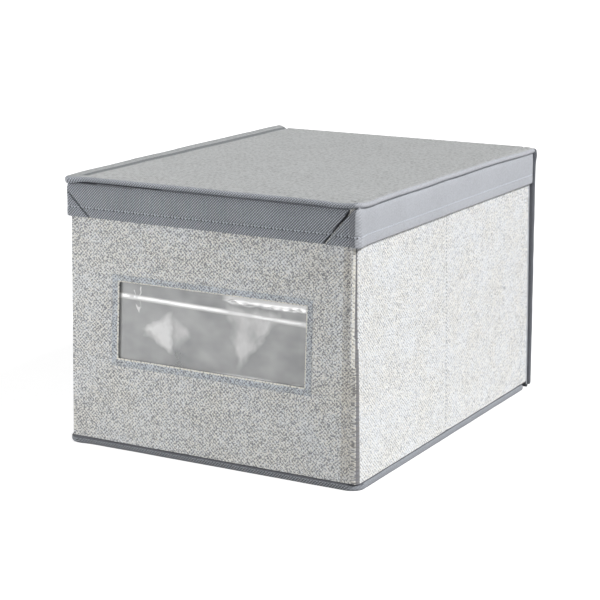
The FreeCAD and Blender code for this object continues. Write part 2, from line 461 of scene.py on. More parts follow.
# %% [markdown]
# Rounding the place down gives each yarn a number, and noise bends the place first, so that no
# yarn is straight. Soft noise along a yarn gives its colour, white noise gives each crossing its
# own, and a ramp turns the sum into a colour. The tone, the level and the mottle set one cloth
# apart from another.
# %% Write the weave
def woven_cloth(name, tone=WHITE, level=0.50, relief=1.0, mottle=1.3):
    """A plain weave of mottled yarns."""
    cloth = Finish(name, roughness=0.92, sheen_weight=0.1, sheen_roughness=0.5)
    along, up = cloth.cloth_place()
    wander_up = cloth.noise(cloth.vector(along, up), 0.045, 2.0)
    wander_along = cloth.noise(cloth.vector(up, along, 9.0), 0.05, 2.0)
    column = (along + wander_along * 2.4) / YARN_PITCH
    row = (up + wander_up * 3.0) / YARN_PITCH
    column_number = column.math("FLOOR")
    row_number = row.math("FLOOR")
    upright_yarn = cloth.noise(cloth.vector(column_number * 5.13, up * 0.3, 2.0), 1.0, 2.0, 0.6)
    level_yarn = cloth.noise(cloth.vector(along * 0.12, row_number * 4.71, 7.0), 1.0, 2.0, 0.6)
    parity = ((column_number + row_number) * 0.5).math("FRACT") > 0.25
    slub = cloth.noise(cloth.vector(along * 0.45, up * 0.3, 4.0), 1.0, 2.0)
    level_wins = (parity * 0.5 + slub) > 0.74
    yarn = level_wins * level_yarn + (1.0 - level_wins) * upright_yarn
    crossing = cloth.white(cloth.vector(column_number, row_number))
    patch = cloth.noise(cloth.vector(along, up, 3.0), 0.03, 3.0)
    crossed = (column * math.pi).math("SINE") * (row * math.pi).math("SINE")
    cell = cloth.vector((along / FIBRE_CELL).math("FLOOR"), (up / FIBRE_CELL).math("FLOOR"), 5.0)
    fibre = cloth.white(cell)
    contrast = crossing * 0.85 + 0.15
    uneven = (yarn - 0.5) * 0.85 + (crossing - 0.5) * 0.4 + (patch - 0.5) * 0.5
    shade = level + (crossed * contrast + uneven + (fibre - 0.5) * 1.4) * mottle
    colour = cloth.ramp(shade, [
        (0.0, DARK_YARN), (0.28, GREY_YARN), (0.55, PALE_YARN), (0.9, CREAM_YARN),
    ])
    warmth = cloth.noise(cloth.vector(along, up, 12.0), 0.7, 2.0) * 0.8 + patch * 0.4
    tint = cloth.ramp(warmth, [(0.5, WARM_TINT), (0.72, COOL_TINT)])
    mottled = cloth.blend_colours(1.0, colour, tint, "MULTIPLY")
    cloth.feed("Base Color", cloth.blend_colours(1.0, mottled, tone, "MULTIPLY"))
    knots = cloth.noise(cloth.vector(along, up, 1.0), 0.6, 1.0)
    cloth.feed("Normal", cloth.bump(knots * 0.45 + crossed * 0.09, 2.0 * relief * MM))
    cloth.feed("Roughness", 0.86 + shade * 0.1)
    return cloth.material


print("weave written")

# %% [markdown]
# The same weave looks different where it is turned, folded or pressed. It is cooler where it is doubled
# round the window. The other copies carry painted light and shade: a painted highlight on the fold, painted
# shade in a seam and in the hollow beside it, and painted sunlight on the sides, which also makes them look
# smoother. So the one recipe is used six times.
# %% Weave the wall's cloths
WALL_CLOTH = woven_cloth("wall_cloth")
SUNLIT_SIDE_CLOTH = woven_cloth("wall_cloth_sunlit_side", SUNLIT_SIDE_TONE, 0.6, 0.8, 0.68)
HOLLOW_SHADE_CLOTH = woven_cloth("wall_cloth_hollow_shade", HOLLOW_SHADE_TONE)
TURNED_CLOTH = woven_cloth("wall_cloth_turned", TURNED_TONE)
FOLD_HIGHLIGHT_CLOTH = woven_cloth("wall_cloth_fold_highlight", FOLD_HIGHLIGHT_TONE, 1.1)
SEAM_SHADE_CLOTH = woven_cloth("wall_cloth_seam_shade", SEAM_SHADE_TONE, 0.5, 0.1, 0.2)
print("woven cloths:", len([m for m in bpy.data.materials if m.name.startswith("wall_cloth")]))

# %% [markdown]
# ## Non-woven cloths
# The lid's grey cloth is pressed, not woven, with a fine crossed pattern that shows as diagonal
# hatching. The lining is the same stuff in a smoother press, and the tapes are a narrow strip of
# it. So they share one recipe, and each has its own grey.
# %% Choose the greys
HATCH_PITCH = 2.6
LID_GREY = (0.475, 0.485, 0.485)
LINING_GREY = (0.70, 0.71, 0.72)
SKIRT_GREY = (0.65, 0.685, 0.755)
# Painted sunlight: the grey of the skirt's copy for its sunlit sides.
SKIRT_SUNLIT_GREY = (0.465, 0.48, 0.515)
TAPE_GREY = (0.43, 0.45, 0.49)
# Painted sunlight: the grey of the tape's copy for its sunlit sides.
TAPE_SUNLIT_GREY = (0.295, 0.31, 0.34)
UPRIGHT_GREY = (0.27, 0.285, 0.32)
SHADED_GREY = (0.34, 0.355, 0.39)
# Painted shade on the lid's left band.
BAND_SHADE_GREY = (0.365, 0.375, 0.38)
# Painted shade in the band's stitched groove.
GROOVE_SHADE_GREY = (0.17, 0.18, 0.185)
# Painted shade in the mitre's slit and under the roll.
SLIT_SHADE_GREY = (0.06, 0.064, 0.073)
# Painted shadow along the tape's top groove.
TAPE_SHADOW_GREY = (0.12, 0.125, 0.14)
THREAD_GREY = (0.34, 0.36, 0.39)
PALE_THREAD_GREY = (0.66, 0.67, 0.68)
SKIRT_THREAD_GREY = (0.74, 0.77, 0.83)
# Painted shade inside the needle holes.
HOLE_SHADE_GREY = (0.09, 0.095, 0.11)
TAPE_PITCH = 2.8
print("hatch pitch", HATCH_PITCH, "mm, tape pitch", TAPE_PITCH, "mm")

# %% [markdown]
# Two sets of slanting waves make the crossed hatch. It darkens the colour and presses into the surface, and
# matted fibres lie over both. The shade that a slope or a groove would cast is painted later, in darker
# greys.
# %% Press the grey cloths
def pressed_cloth(name, base, pitch, dots, depth, grain=0.45, grain_scale=0.8):
    """Non-woven cloth with a pressed slanting hatch and matted fibres."""
    cloth = Finish(name, roughness=0.85, sheen_weight=0.08, sheen_roughness=0.4)
    along, up = cloth.cloth_place()
    first = ((along + up) * (math.pi / pitch)).math("SINE").math("ABSOLUTE")
    second = ((along - up) * (math.pi / pitch)).math("SINE").math("ABSOLUTE")
    press = first * (0.55 + second * 0.45)
    fibres = cloth.noise(cloth.vector(along, up, 2.0), grain_scale, 3.0, 0.6)
    patch = cloth.noise(cloth.vector(along, up, 5.0), 0.02, 3.0)
    level = 1.0 - dots * (1.0 - press) + (fibres - 0.5) * grain + (patch - 0.5) * 0.16
    low = tuple(v * 0.26 for v in base)
    high = tuple(min(1.0, v * 1.25) for v in base)
    cloth.feed("Base Color", cloth.ramp(level, [(0.3, low), (1.0, high)]))
    cloth.feed("Normal", cloth.bump(press * 0.8 + fibres * 0.6, depth * MM))
    cloth.feed("Roughness", 0.78 + fibres * 0.16)
    return cloth.material


LID_CLOTH = pressed_cloth("lid_cloth", LID_GREY, HATCH_PITCH, 0.16, 0.45, 1.4, 0.38)
SKIRT_CLOTH = pressed_cloth("skirt_cloth", SKIRT_GREY, HATCH_PITCH, 1.0, 1.3)
LINING_CLOTH = pressed_cloth("lining_cloth", LINING_GREY, 3.0, 0.20, 0.12)
SKIRT_SUNLIT_SIDE = pressed_cloth("skirt_cloth_sunlit_side", SKIRT_SUNLIT_GREY, HATCH_PITCH, 0.25, 0.3)
SKIRT_SHADED = pressed_cloth("skirt_cloth_shaded", SHADED_GREY, HATCH_PITCH, 0.8, 0.6)
LID_BAND_SHADE = pressed_cloth("lid_cloth_band_shade", BAND_SHADE_GREY, HATCH_PITCH, 0.16, 0.4, 0.8, 0.35)
LID_GROOVE_SHADE = pressed_cloth("lid_cloth_groove_shade", GROOVE_SHADE_GREY, HATCH_PITCH, 0.16, 0.3)
TAPE_GROOVE_SHADOW = pressed_cloth("seam_tape_groove_shadow", TAPE_SHADOW_GREY, TAPE_PITCH, 0.3, 0.3)
SKIRT_SLIT_SHADE = pressed_cloth("skirt_cloth_slit_shade", SLIT_SHADE_GREY, HATCH_PITCH, 0.5, 0.5)
TAPE = pressed_cloth("seam_tape", TAPE_GREY, TAPE_PITCH, 0.9, 1.2)
TAPE_SUNLIT_SIDE = pressed_cloth("seam_tape_sunlit_side", TAPE_SUNLIT_GREY, TAPE_PITCH, 0.3, 0.3)
UPRIGHT_TAPE = pressed_cloth("seam_tape_upright", UPRIGHT_GREY, 2.1, 0.9, 0.8)
PRESSED = ("lid_cloth", "skirt_cloth", "lining_cloth", "seam_tape")
print("pressed cloths:", len([m for m in bpy.data.materials if m.name.startswith(PRESSED)]))

# %% [markdown]
# ## Film, board and thread
# Where the film is creased, the lamps' glare on it is painted in as pale, less clear patches, and the
# creases have straight sides. Each is drawn as a triangle with soft edges: the product of three ramps, one
# for each side.
# %% Draw the painted glare on the film's creases
# Straight-sided creases of the film with painted glare on them: three corners (x, height) and how strong
# the glare is, which also sets the crease's depth
FILM_GLARE_CREASES = [
    ((-74, 114), (-39, 137), (-35, 95), 1.5), ((-42, 134), (-17, 118), (-37, 97), 0.5),
    ((14, 149), (75, 146), (28, 86), 0.75), ((44, 122), (76, 146), (27, 86), 1.3),
    ((-81, 152), (-78.5, 152), (-73, 137), 0.9), ((-73.5, 155), (-70.5, 155), (-68, 131), 0.9),
    ((-78, 140), (-69, 139), (-72, 131), 0.9),
]
STREAK_LEFT, STREAK_RIGHT = 144.2, 139.6
STREAK_HALF = 1.9
STREAK_REACH = 96.0
GLARE_LOW = 150.5
CREASE_SOFT = 6.0


def triangle_inside(along, up, corners, soft):
    """1 well inside a triangle whose corners go clockwise, 0 outside it, and soft edges between."""
    inside = None
    for (x0, z0), (x1, z1) in zip(corners, corners[1:] + corners[:1]):
        length = math.hypot(x1 - x0, z1 - z0)
        across = (along - x0) * ((z1 - z0) / length) - (up - z0) * ((x1 - x0) / length)
        edge = (across / soft).clamped()
        inside = edge if inside is None else inside * edge
    return inside


print("cloudy creases:", len(FILM_GLARE_CREASES))

# %% [markdown]
# The film is see-through, so Alpha carries it, and a coat gives the gloss. Painted glare on its creases,
# along one long fold and under its upper edge makes it paler and less clear there.
# %% Make the film clear
def clear_film(name):
    """Clear flexible film: see-through and glossy, with painted glare on its creases, along its long fold
    and under its upper edge.
    """
    film = Finish(name, coat_weight=1.0, coat_roughness=0.03)
    film.shader.inputs["IOR"].default_value = 1.5
    along, up = film.cloth_place()
    crinkle = film.noise(film.vector(along, up * 1.4, 2.0), 0.045, 3.0, 0.55)
    cloud = film.noise(film.vector(along * 0.7, up, 8.0), 0.05, 2.0)
    slope = (STREAK_RIGHT - STREAK_LEFT) / (2 * STREAK_REACH)
    off_line = (up - along * slope - (STREAK_LEFT + STREAK_RIGHT) / 2).math("ABSOLUTE")
    # Painted reflection: a pale line along the long fold, glare under the upper edge and glare on the
    # creases.
    painted_reflection = (1.5 - off_line / STREAK_HALF).clamped() * 0.95
    wavy = film.noise(film.vector(along, 0.0, 3.0), 0.07, 1.0) * 9.0 + (GLARE_LOW - 4.5)
    glare = ((up - wavy) * 1.2).clamped() * ((along - 12.0) / 8.0).clamped() * 0.9
    painted_reflection = painted_reflection.math("MAXIMUM", glare)
    bent_along = along + (film.noise(film.vector(along, up, 1.0), 0.06, 2.0) - 0.5) * 14.0
    bent_up = up + (film.noise(film.vector(along, up, 6.0), 0.06, 2.0) - 0.5) * 14.0
    wisps = film.noise(film.vector(along, up * 0.6, 11.0), 0.07, 2.0, 0.6) * 1.5 - 0.05
    for *corners, glaring in FILM_GLARE_CREASES:
        wide = max(x for x, z in corners) - min(x for x, z in corners) > 12
        inside = triangle_inside(bent_along, bent_up, corners, CREASE_SOFT if wide else 1.0)
        strength = wisps * glaring if wide else glaring
        painted_reflection = painted_reflection.math("MAXIMUM", (inside * strength).clamped() * 0.9)
    film.feed("Base Color", film.ramp(cloud + painted_reflection, [(0.3, (0.86, 0.88, 0.89)), (0.9, (1.0, 1.0, 1.0))]))
    film.feed("Alpha", (0.36 + (cloud - 0.5) * 0.3 + painted_reflection * 0.56).clamped())
    film.feed("Normal", film.bump(crinkle, 0.4 * MM))
    film.feed("Roughness", 0.03 + cloud * 0.05)
    return film.material


FILM = clear_film("window_film_clear")
print("film:", FILM.name)

# %% [markdown]
# The boards keep their own solids, because they are plain and stiff, and get a better material. A
# solid has no cloth map, so this one reads the place inside the object.
# %% Fill the boards
def stiff_board(name):
    """Grey-brown board with short fibres."""
    board = Finish(name, roughness=0.9)
    place = board.add("ShaderNodeTexCoord", None, None, 3)
    fibres = board.noise(place, 900.0, 4.0, 0.7)
    patch = board.noise(place, 35.0, 2.0)
    level = fibres * 0.7 + patch * 0.3
    board.feed("Base Color", board.ramp(level, [(0.3, (0.30, 0.25, 0.19)), (0.7, (0.52, 0.45, 0.36))]))
    board.feed("Normal", board.bump(fibres, 0.2 * MM))
    board.feed("Roughness", 0.82 + fibres * 0.12)
    return board.material


BOARD = stiff_board("stiff_board")
boards = [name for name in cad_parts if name.endswith("_board")]
for name in boards:
    for material_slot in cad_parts[name].material_slots:
        material_slot.material = BOARD
print("boards:", len(boards))

# %% [markdown]
# Thread is matt with a slight twist. A needle's hole is sewn like a stitch too, in a dark thread that is
# painted shade inside the hole.
# %% Twist the threads
def sewing_thread(name, base):
    """Matt thread with a slight twist."""
    thread = Finish(name, roughness=0.7)
    along, up = thread.cloth_place()
    twist = ((along * 2.0 + up) * math.tau).math("SINE")
    low = tuple(v * 0.8 for v in base)
    high = tuple(v * 1.25 for v in base)
    thread.feed("Base Color", thread.ramp(twist * 0.5 + 0.5, [(0.0, low), (1.0, high)]))
    thread.feed("Roughness", 0.6 + twist * 0.08)
    return thread.material


THREAD = sewing_thread("grey_thread", THREAD_GREY)
PALE_THREAD = sewing_thread("pale_thread", PALE_THREAD_GREY)
SKIRT_THREAD = sewing_thread("skirt_thread", SKIRT_THREAD_GREY)
HOLE_SHADE = sewing_thread("needle_hole_shade", HOLE_SHADE_GREY)
print("finishes:", len(bpy.data.materials))

# %% [markdown]
# ## Routes and sheets
# Most of this box is a strip that runs round three or four sides: wall cloth, lid edge, skirt and
# tapes. So one helper lays out a route in plan, with rounded corners, and another sweeps a
# profile along it. Each step of a route is a place, an outward direction and a length so far.
# %% Helpers for routes
def stops_between(start, end, step, kept=()):
    """Places from start to end about a step apart, which include the ones to be kept."""
    low, high = min(start, end), max(start, end)
    marks = [low] + sorted(k for k in kept if low + 1e-6 < k < high - 1e-6) + [high]
    places = [low]
    for a, b in zip(marks, marks[1:]):
        count = max(1, round((b - a) / step))
        places += [a + (b - a) * (i + 1) / count for i in range(count)]
    return places if end >= start else places[::-1]


print("stops from 0 to 10:", stops_between(0, 10, 3.0, (5,)))

# %% [markdown]
# A stop knows where it is, which way is out and how far along the route it lies. Moving it
# inwards past a rounded corner's middle would fold the strip over itself, so there it stops at
# the mitre.
# %% Describe one stop
class Stop:
    """One step of a route: where it is, which way is out, and how far along it lies."""

    def __init__(self, x, y, out_x, out_y, corner=None):
        self.x, self.y, self.out_x, self.out_y = x, y, out_x, out_y
        self.corner = corner
        self.run = 0.0

    def moved(self, out):
        """The place that lies this far outwards. Inside a rounded corner it stops at the mitre."""
        if self.corner and -out > self.corner[2]:
            centre_x, centre_y, radius, side_x, side_y = self.corner
            return centre_x + side_x * (out + radius), centre_y + side_y * (out + radius)
        return self.x + self.out_x * out, self.y + self.out_y * out


print("stop ready")

# %% [markdown]
# The route starts at the rear right corner and runs along the right side, the front and the left
# side. The places to be kept are grid lines that a fold, a seam or the window needs.
# %% Lay out a route round the box
def corner_stops(centre_x, centre_y, radius, start_deg, end_deg, step):
    """The stops of a rounded corner, without its first."""
    count = max(4, round(abs(math.radians(end_deg - start_deg)) * radius / step))
    middle = math.radians((start_deg + end_deg) / 2)
    sides = (math.copysign(1, math.cos(middle)), math.copysign(1, math.sin(middle)))
    made = []
    for i in range(1, count + 1):
        turn = math.radians(start_deg + (end_deg - start_deg) * i / count)
        out_x, out_y = math.cos(turn), math.sin(turn)
        corner = (centre_x, centre_y, radius, *sides)
        made.append(Stop(centre_x + radius * out_x, centre_y + radius * out_y, out_x, out_y, corner))
    return made


def measured(stops):
    """Write the length so far on each stop."""
    for before, after in zip(stops, stops[1:]):
        after.run = before.run + math.hypot(after.x - before.x, after.y - before.y)
    return stops


def route_round(half_x, front_y, rear_y, corner_r, step, kept_side=(), kept_front=(), corner_step=None):
    """From the rear right corner along the right side, the front and the left side."""
    corner_step = corner_step or step
    stops = []
    for y in stops_between(rear_y, front_y + corner_r, step, kept_side):
        stops.append(Stop(half_x, y, 1, 0))
    stops += corner_stops(half_x - corner_r, front_y + corner_r, corner_r, 0, -90, corner_step)
    across = stops_between(half_x - corner_r, -half_x + corner_r, step, kept_front)
    stops += [Stop(x, front_y, 0, -1) for x in across[1:]]
    stops += corner_stops(-half_x + corner_r, front_y + corner_r, corner_r, -90, -180, corner_step)
    for y in stops_between(front_y + corner_r, rear_y, step, kept_side)[1:]:
        stops.append(Stop(-half_x, y, -1, 0))
    return measured(stops)


print("route helpers ready")

# %% [markdown]
# A cloth that bends at one fold covers only a stretch of the route, so a stretch is found by its
# first and last stop.
# %% Cut a stretch from a route
def part_of(route, start, end):
    """The stretch of a route from one test's first stop to the other's last."""
    first = next(i for i, s in enumerate(route) if start(s))
    last = max(i for i, s in enumerate(route) if end(s))
    return route[first:last + 1]


print("stretches can be cut")

# %% [markdown]
# ## Meshes
# Cloth is never quite even, yet a part has to come out the same each time. So the bulges and
# waves come from smooth noise, which depends on nothing but the place.
# %% Make gentle noise
def smooth_noise(x, y, z=0.0):
    """Gentle noise from -1 to 1 that is the same each time."""
    return noise.noise(Vector((x, y, z)))


print("noise at 1.3, 2.4:", round(smooth_noise(1.3, 2.4), 3))

# %% [markdown]
# A grid with an opening leaves points that no face uses, and they are deleted. The cut edges are
# kept sharp, so that the shading doesn't run round them.
# %% Clean up a mesh
def drop_loose(mesh):
    """Delete points that no face uses, and keep the cloth's cut edges sharp."""
    work = bmesh.new()
    work.from_mesh(mesh)
    for edge in work.edges:
        edge.smooth = not edge.is_boundary
    bmesh.ops.delete(work, geom=[v for v in work.verts if not v.link_faces], context="VERTS")
    work.to_mesh(mesh)
    work.free()


print("clean-up ready")

# %% [markdown]
# A strip of cloth is a grid: one row for each point of its profile and one column for each stop.
# The map that the cloth patterns read is simply the length along and the length up, in
# millimetres. A Solidify modifier then gives the cloth its thickness, inwards.
# %% Make a grid of cloth
def make_grid(name, columns, rows, place, material, thick=0.0, skip=None, closed=False, caps=False):
    """A mesh from a function that gives each column and row its place, in millimetres."""
    mesh = bpy.data.meshes.new(name)
    points, where = [], []
    for c in columns:
        for r in rows:
            spot = place(c, r)
            points.append([v * MM for v in spot[:3]])
            where.append(spot[3:5])
    high = len(rows)
    faces = []
    ring = high if closed else high - 1
    for i in range(len(columns) - 1):
        for j in range(ring):
            if skip and skip(columns[i], columns[i + 1], rows[j], rows[(j + 1) % high]):
                continue
            a, b = i * high + j, i * high + (j + 1) % high
            faces.append((a, b, b + high, a + high))
    if caps:
        faces.append(tuple(reversed(range(high))))
        last = (len(columns) - 1) * high
        faces.append(tuple(last + j for j in range(high)))
    mesh.from_pydata(points, [], faces)
    layer = mesh.uv_layers.new(name="cloth")
    for loop in mesh.loops:
        layer.data[loop.index].uv = where[loop.vertex_index]
    mesh.polygons.foreach_set("use_smooth", [True] * len(mesh.polygons))
    mesh.materials.append(material)
    drop_loose(mesh)
    made = bpy.data.objects.new(name, mesh)
    bpy.context.scene.collection.objects.link(made)
    if thick:
        layers = made.modifiers.new("cloth thickness", "SOLIDIFY")
        layers.thickness = thick * MM
        layers.offset = -1
        layers.use_rim = True
    return made


print("grid helper ready")

# %% [markdown]
# Most pieces are a profile carried along a route. The push function may move any point outwards
# and the lift function upwards, which gives bulges, wrinkles, hems and puckers.
# %% Sweep a profile along a route
def sweep(name, route, profile, material, push=None, thick=0.0, skip=None, closed=False, lift=None):
    """Sweep a profile of (inset, height) points along a route, pushed outwards by push."""
    lengths = [0.0]
    for (i0, z0), (i1, z1) in zip(profile, profile[1:]):
        lengths.append(lengths[-1] + math.hypot(i1 - i0, z1 - z0))
    rows = list(range(len(profile)))

    def place(stop, row):
        inset, z = profile[row]
        x, y = stop.moved(-inset + (push(stop, inset, z) if push else 0.0))
        rise = lift(stop, inset, z) if lift else 0.0
        return x, y, z + rise, stop.run, lengths[row] + profile[0][1]

    def skipped(c0, c1, r0, r1):
        return skip(c0, c1, profile[r0], profile[r1])

    return make_grid(
        name, route, rows, place, material, thick, skipped if skip else None, closed, closed
    )


print("mesh helpers ready")

# %% [markdown]
# ## Wall cloth
# The real cloth is one sleeve, sewn into each fold line and turned over the rim to a hem inside.
# It has to bend where the walls fold, so it is made in five stretches. Each stretch spans one joint and
# ends in the middle of a flat panel, where two stretches meet.
# %% Set the wall cloth's measures
GRID_STEP = 3.2
HEM_INSIDE = 15.0
FLARE = 4.8
FLARE_TOP = 230.0
FRONT_FLARE = 0.6
WINDOW_HEM = 6.6
FOLD_LINE = 1.3
RIM_ROUND = 0.8
CLOTH_T = 0.7
# Soft creases across the front, as (x, height, lean in degrees, length, width, rise)
FRONT_FOLDS = [
    (-122, 66, 52, 74, 9.0, 0.9), (-104, 42, 38, 66, 8.0, 0.7), (-76, 30, 24, 60, 7.0, 0.5),
    (-126, 190, -30, 52, 8.0, 0.6), (116, 60, 82, 90, 7.0, 0.7), (60, 182, 8, 90, 7.0, 0.35),
    (128, 150, 88, 110, 5.0, 0.6), (20, 48, 4, 110, 12.0, 0.4), (-134, 120, 85, 80, 5.0, 0.5),
]
print("hem inside", HEM_INSIDE, "mm, folds on the front:", len(FRONT_FOLDS))

# %% [markdown]
# A soft crease is a low ridge: a bump across it, times a longer bump along it. The bump is used
# for every small swelling and dip below.
# %% Crease the cloth softly
def bell(distance, width):
    """A smooth bump, 1 at the middle."""
    return math.exp(-((distance / width) ** 2))


def fold_rise(x, z, folds):
    """How far the soft creases lift the cloth at a place."""
    total = 0.0
    for fold_x, fold_z, lean, length, width, rise in folds:
        turn = math.radians(lean)
        dx, dz = x - fold_x, z - fold_z
        along = dx * math.cos(turn) + dz * math.sin(turn)
        across = dz * math.cos(turn) - dx * math.sin(turn)
        total += rise * bell(across, width) * bell(along, length / 2)
    return total


print("rise of the creases at the middle:", round(fold_rise(0, 120, FRONT_FOLDS), 3), "mm")

# %% [markdown]
# Round the window the cloth is turned back on itself and sewn. It rises in a low roll, dips where
# the stitches hold it, and rises again a little outside them.
# %% Turn the window's edge
def window_distance(x, z):
    """Distance outside the window's edge, which has square corners, and 0 inside it."""
    dx = max(abs(x) - WINDOW_X, 0.0)
    dz = max(WINDOW_Z0 - z, z - WINDOW_Z1, 0.0)
    return max(dx, dz)


def window_relief(x, z):
    """The turned edge round the window: a low roll, then the stitched groove."""
    away = window_distance(x, z)
    roll = 0.4 * bell(away - 3.0, 2.6)
    groove = -0.6 * bell(away - WINDOW_HEM, 0.8)
    step = 0.25 * bell(away - 8.8, 1.8)
    tuck = -0.4 * bell(away, 0.5)
    return roll + groove + step + tuck


print("stitched groove:", round(window_relief(WINDOW_X + WINDOW_HEM, WINDOW_Z0), 2), "mm")

# %% [markdown]
# The photograph's upright edges don't lean together, as they would on an upright box seen from
# above. The walls bow out towards the bottom instead, and the cloth follows them. High up, the
# right front corner is pinched to a ridge, and the left one swells.
# %% Bow the walls and pinch the corner
def near_fold_line(stop):
    """1 at a fold line or corner of the walls and 0 away from it."""
    lines = [RIGHT_CREASE, RIGHT_FOLD] if stop.x > 0 else [LEFT_CREASE, LEFT_FOLD]
    lines += [FRONT_Y, INNER_BACK]
    return max(bell(stop.y - line, 9.0) for line in lines) if abs(stop.out_x) > 0.5 else 0.0


def flare(z):
    """How far the walls bow out towards the bottom."""
    return FLARE * max(0.0, 1.0 - z / FLARE_TOP)


def corner_distance(stop):
    """Length along the cloth from the middle of the nearer front corner, negative on the side."""
    if stop.corner:
        turn = math.atan2(abs(stop.out_x), abs(stop.out_y))
        return (math.pi / 4 - turn) * CORNER_R
    half_arc = CORNER_R * math.pi / 4
    if abs(stop.out_y) > 0.5:
        return half_arc + BODY_X - CORNER_R - abs(stop.x)
    return -half_arc - (stop.y - FRONT_Y - CORNER_R)


def pinched(z):
    """How strongly the right front corner is pinched at a height: not at all low down."""
    return min(1.0, max(0.0, (z - 90.0) / 60.0))


def corner_relief(stop, z):
    """The seam down a front corner: a swell on the left, and a pinched ridge high on the right."""
    away = corner_distance(stop)
    if stop.x < 0:
        return 1.7 * (z / WALL_TOP) * bell(away, 3.5) - 0.4 * bell(away, 0.8)
    return pinched(z) * (0.8 * bell(away - 3.0, 1.0) - 0.5 * bell(away - 5.5, 1.5) - 1.3 * bell(away, 1.0))


print("bow at the bottom", FLARE, "mm, at the front", round(FLARE * FRONT_FLARE, 2), "mm")

# %% [markdown]
# All of this is added up in one function, which says how far the cloth stands off its board at
# any stop and height. It is held flat at the fold lines and at the rim.
# %% Push the cloth off its board
def wall_push(stop, inset, z):
    """How far the outer cloth stands proud of its board."""
    if inset > 0.1:
        return 0.0
    flat = 1.0 - near_fold_line(stop)
    edge = min(1.0, (WALL_TOP - z) / 18.0)
    ripple = 0.30 * smooth_noise(stop.run / 46, z / 60, 3.1)
    ripple += 0.16 * smooth_noise(stop.run / 15, z / 24, 8.0)
    out = 0.25 + edge * (flare(z) + (0.4 + ripple) * flat)
    if stop.out_y < -0.9:
        out = 0.55 + edge * (flare(z) * FRONT_FLARE + 0.4 + ripple + fold_rise(stop.x, z, FRONT_FOLDS))
        out = max(0.15, out + window_relief(stop.x, z))
    out += edge * corner_relief(stop, z)
    if stop.x > 0 and stop.out_x > 0.9:
        out -= 0.5 * bell(stop.y - RIGHT_CREASE, 1.0)
    if stop.x < 0 and stop.out_x < -0.9:
        out -= 0.5 * bell(stop.y - LEFT_CREASE, 1.0)
    return max(0.05, out)


print("cloth stands off", round(wall_push(Stop(0, FRONT_Y, 0, -1), 0.0, 60.0), 2), "mm low on the front")

# %% [markdown]
# An even grid fine enough for a narrow groove would have far more faces than the cloth needs. So
# the grid is wide, with extra lines only beside the window, the creases and the front corners.
# %% Lay out the cloth's grid
def window_lines(low, high):
    """Grid lines that the window's turned edge needs, beside a pair of edges."""
    steps = (0.0, 0.6, 1.2, 2.1, 3.0, 3.9, 4.7, 5.4, 6.0, 6.6, 7.3, 8.2, 9.2, 10.8)
    return [low - s for s in steps] + [high + s for s in steps]


def corner_lines(corner, inwards):
    """Grid lines that the pinched cloth near a front corner needs."""
    return [corner + inwards * (CORNER_R + step * 0.5) for step in range(1, 15)]


CREASE_HALF = 1.2
crease_lines = [
    crease + beside for crease in (RIGHT_CREASE, LEFT_CREASE) for beside in (-CREASE_HALF, 0.0, CREASE_HALF)
]
SEAM_RIGHT_REAR = 24.0
SEAM_RIGHT_FRONT = -100.0
SEAM_LEFT = 104.0
side_kept = (*crease_lines, SEAM_RIGHT_REAR, SEAM_RIGHT_FRONT, SEAM_LEFT, LEFT_FOLD, RIGHT_FOLD)
front_kept = window_lines(-WINDOW_X, WINDOW_X) + corner_lines(BODY_X, -1) + corner_lines(-BODY_X, 1)
wall_route = route_round(
    BODY_X, FRONT_Y, INNER_BACK, CORNER_R, GRID_STEP,
    (*side_kept, *corner_lines(FRONT_Y, 1)), front_kept, corner_step=0.3,
)
window_rows = window_lines(WINDOW_Z0, WINDOW_Z1)
face_rows = stops_between(WALL_Z0 + 0.1, WALL_TOP - RIM_ROUND, GRID_STEP, window_rows)
rim = [
    (0.25, WALL_TOP - 0.2), (1.0, WALL_TOP), (WALL_T - 1.0, WALL_TOP), (WALL_T - 0.1, WALL_TOP - 0.3),
]
hem = [(WALL_T + 0.2, z) for z in stops_between(WALL_TOP - 1.2, WALL_TOP - HEM_INSIDE, 2.4)]
wall_profile = [(0.0, z) for z in face_rows] + rim + hem


def cut_height(profile):
    """Length of a profile: how wide the strip was cut."""
    return sum(math.hypot(b[0] - a[0], b[1] - a[1]) for a, b in zip(profile, profile[1:]))


print("cut height of the cloth", round(cut_height(wall_profile), 1), "mm")

# %% [markdown]
# The opening isn't quite square: the cloth was pulled while the film was sewn in. So the finished
# cloth's points round it are moved a little, and less with distance.
# %% Pull the opening off square
# How far the opening's corners are pulled, as (x, height)
PULL_LEFT_TOP, PULL_RIGHT_TOP = (2.9, 0.8), (1.5, 0.6)
PULL_LEFT_LOW, PULL_RIGHT_LOW = (0.7, 2.2), (0.2, 1.3)
PULL_REACH = 34.0


def window_pull(x, z):
    """How far the cloth round the opening is pulled off square, as (x, height)."""
    mid_z = (WINDOW_Z0 + WINDOW_Z1) / 2
    right = min(1.0, max(0.0, 0.5 + x / (2 * WINDOW_X)))
    top = min(1.0, max(0.0, 0.5 + (z - mid_z) / (WINDOW_Z1 - WINDOW_Z0)))
    fade = max(0.0, 1.0 - window_distance(x, z) / PULL_REACH) ** 2
    pulled = []
    for left_low, right_low, left_top, right_top in zip(
        PULL_LEFT_LOW, PULL_RIGHT_LOW, PULL_LEFT_TOP, PULL_RIGHT_TOP
    ):
        low = left_low + (right_low - left_low) * right
        high = left_top + (right_top - left_top) * right
        pulled.append(fade * (low + (high - low) * top))
    return pulled


def pull_opening(cloth):
    """Pull the finished cloth's points round the opening."""
    for point in cloth.data.vertices:
        x, y, z = point.co / MM
        if y < FRONT_Y + 0.1:
            shift_x, shift_z = window_pull(x, z)
            point.co += Vector((shift_x, 0, shift_z)) * MM


print("pull at the left top:", window_pull(-WINDOW_X, WINDOW_Z1))

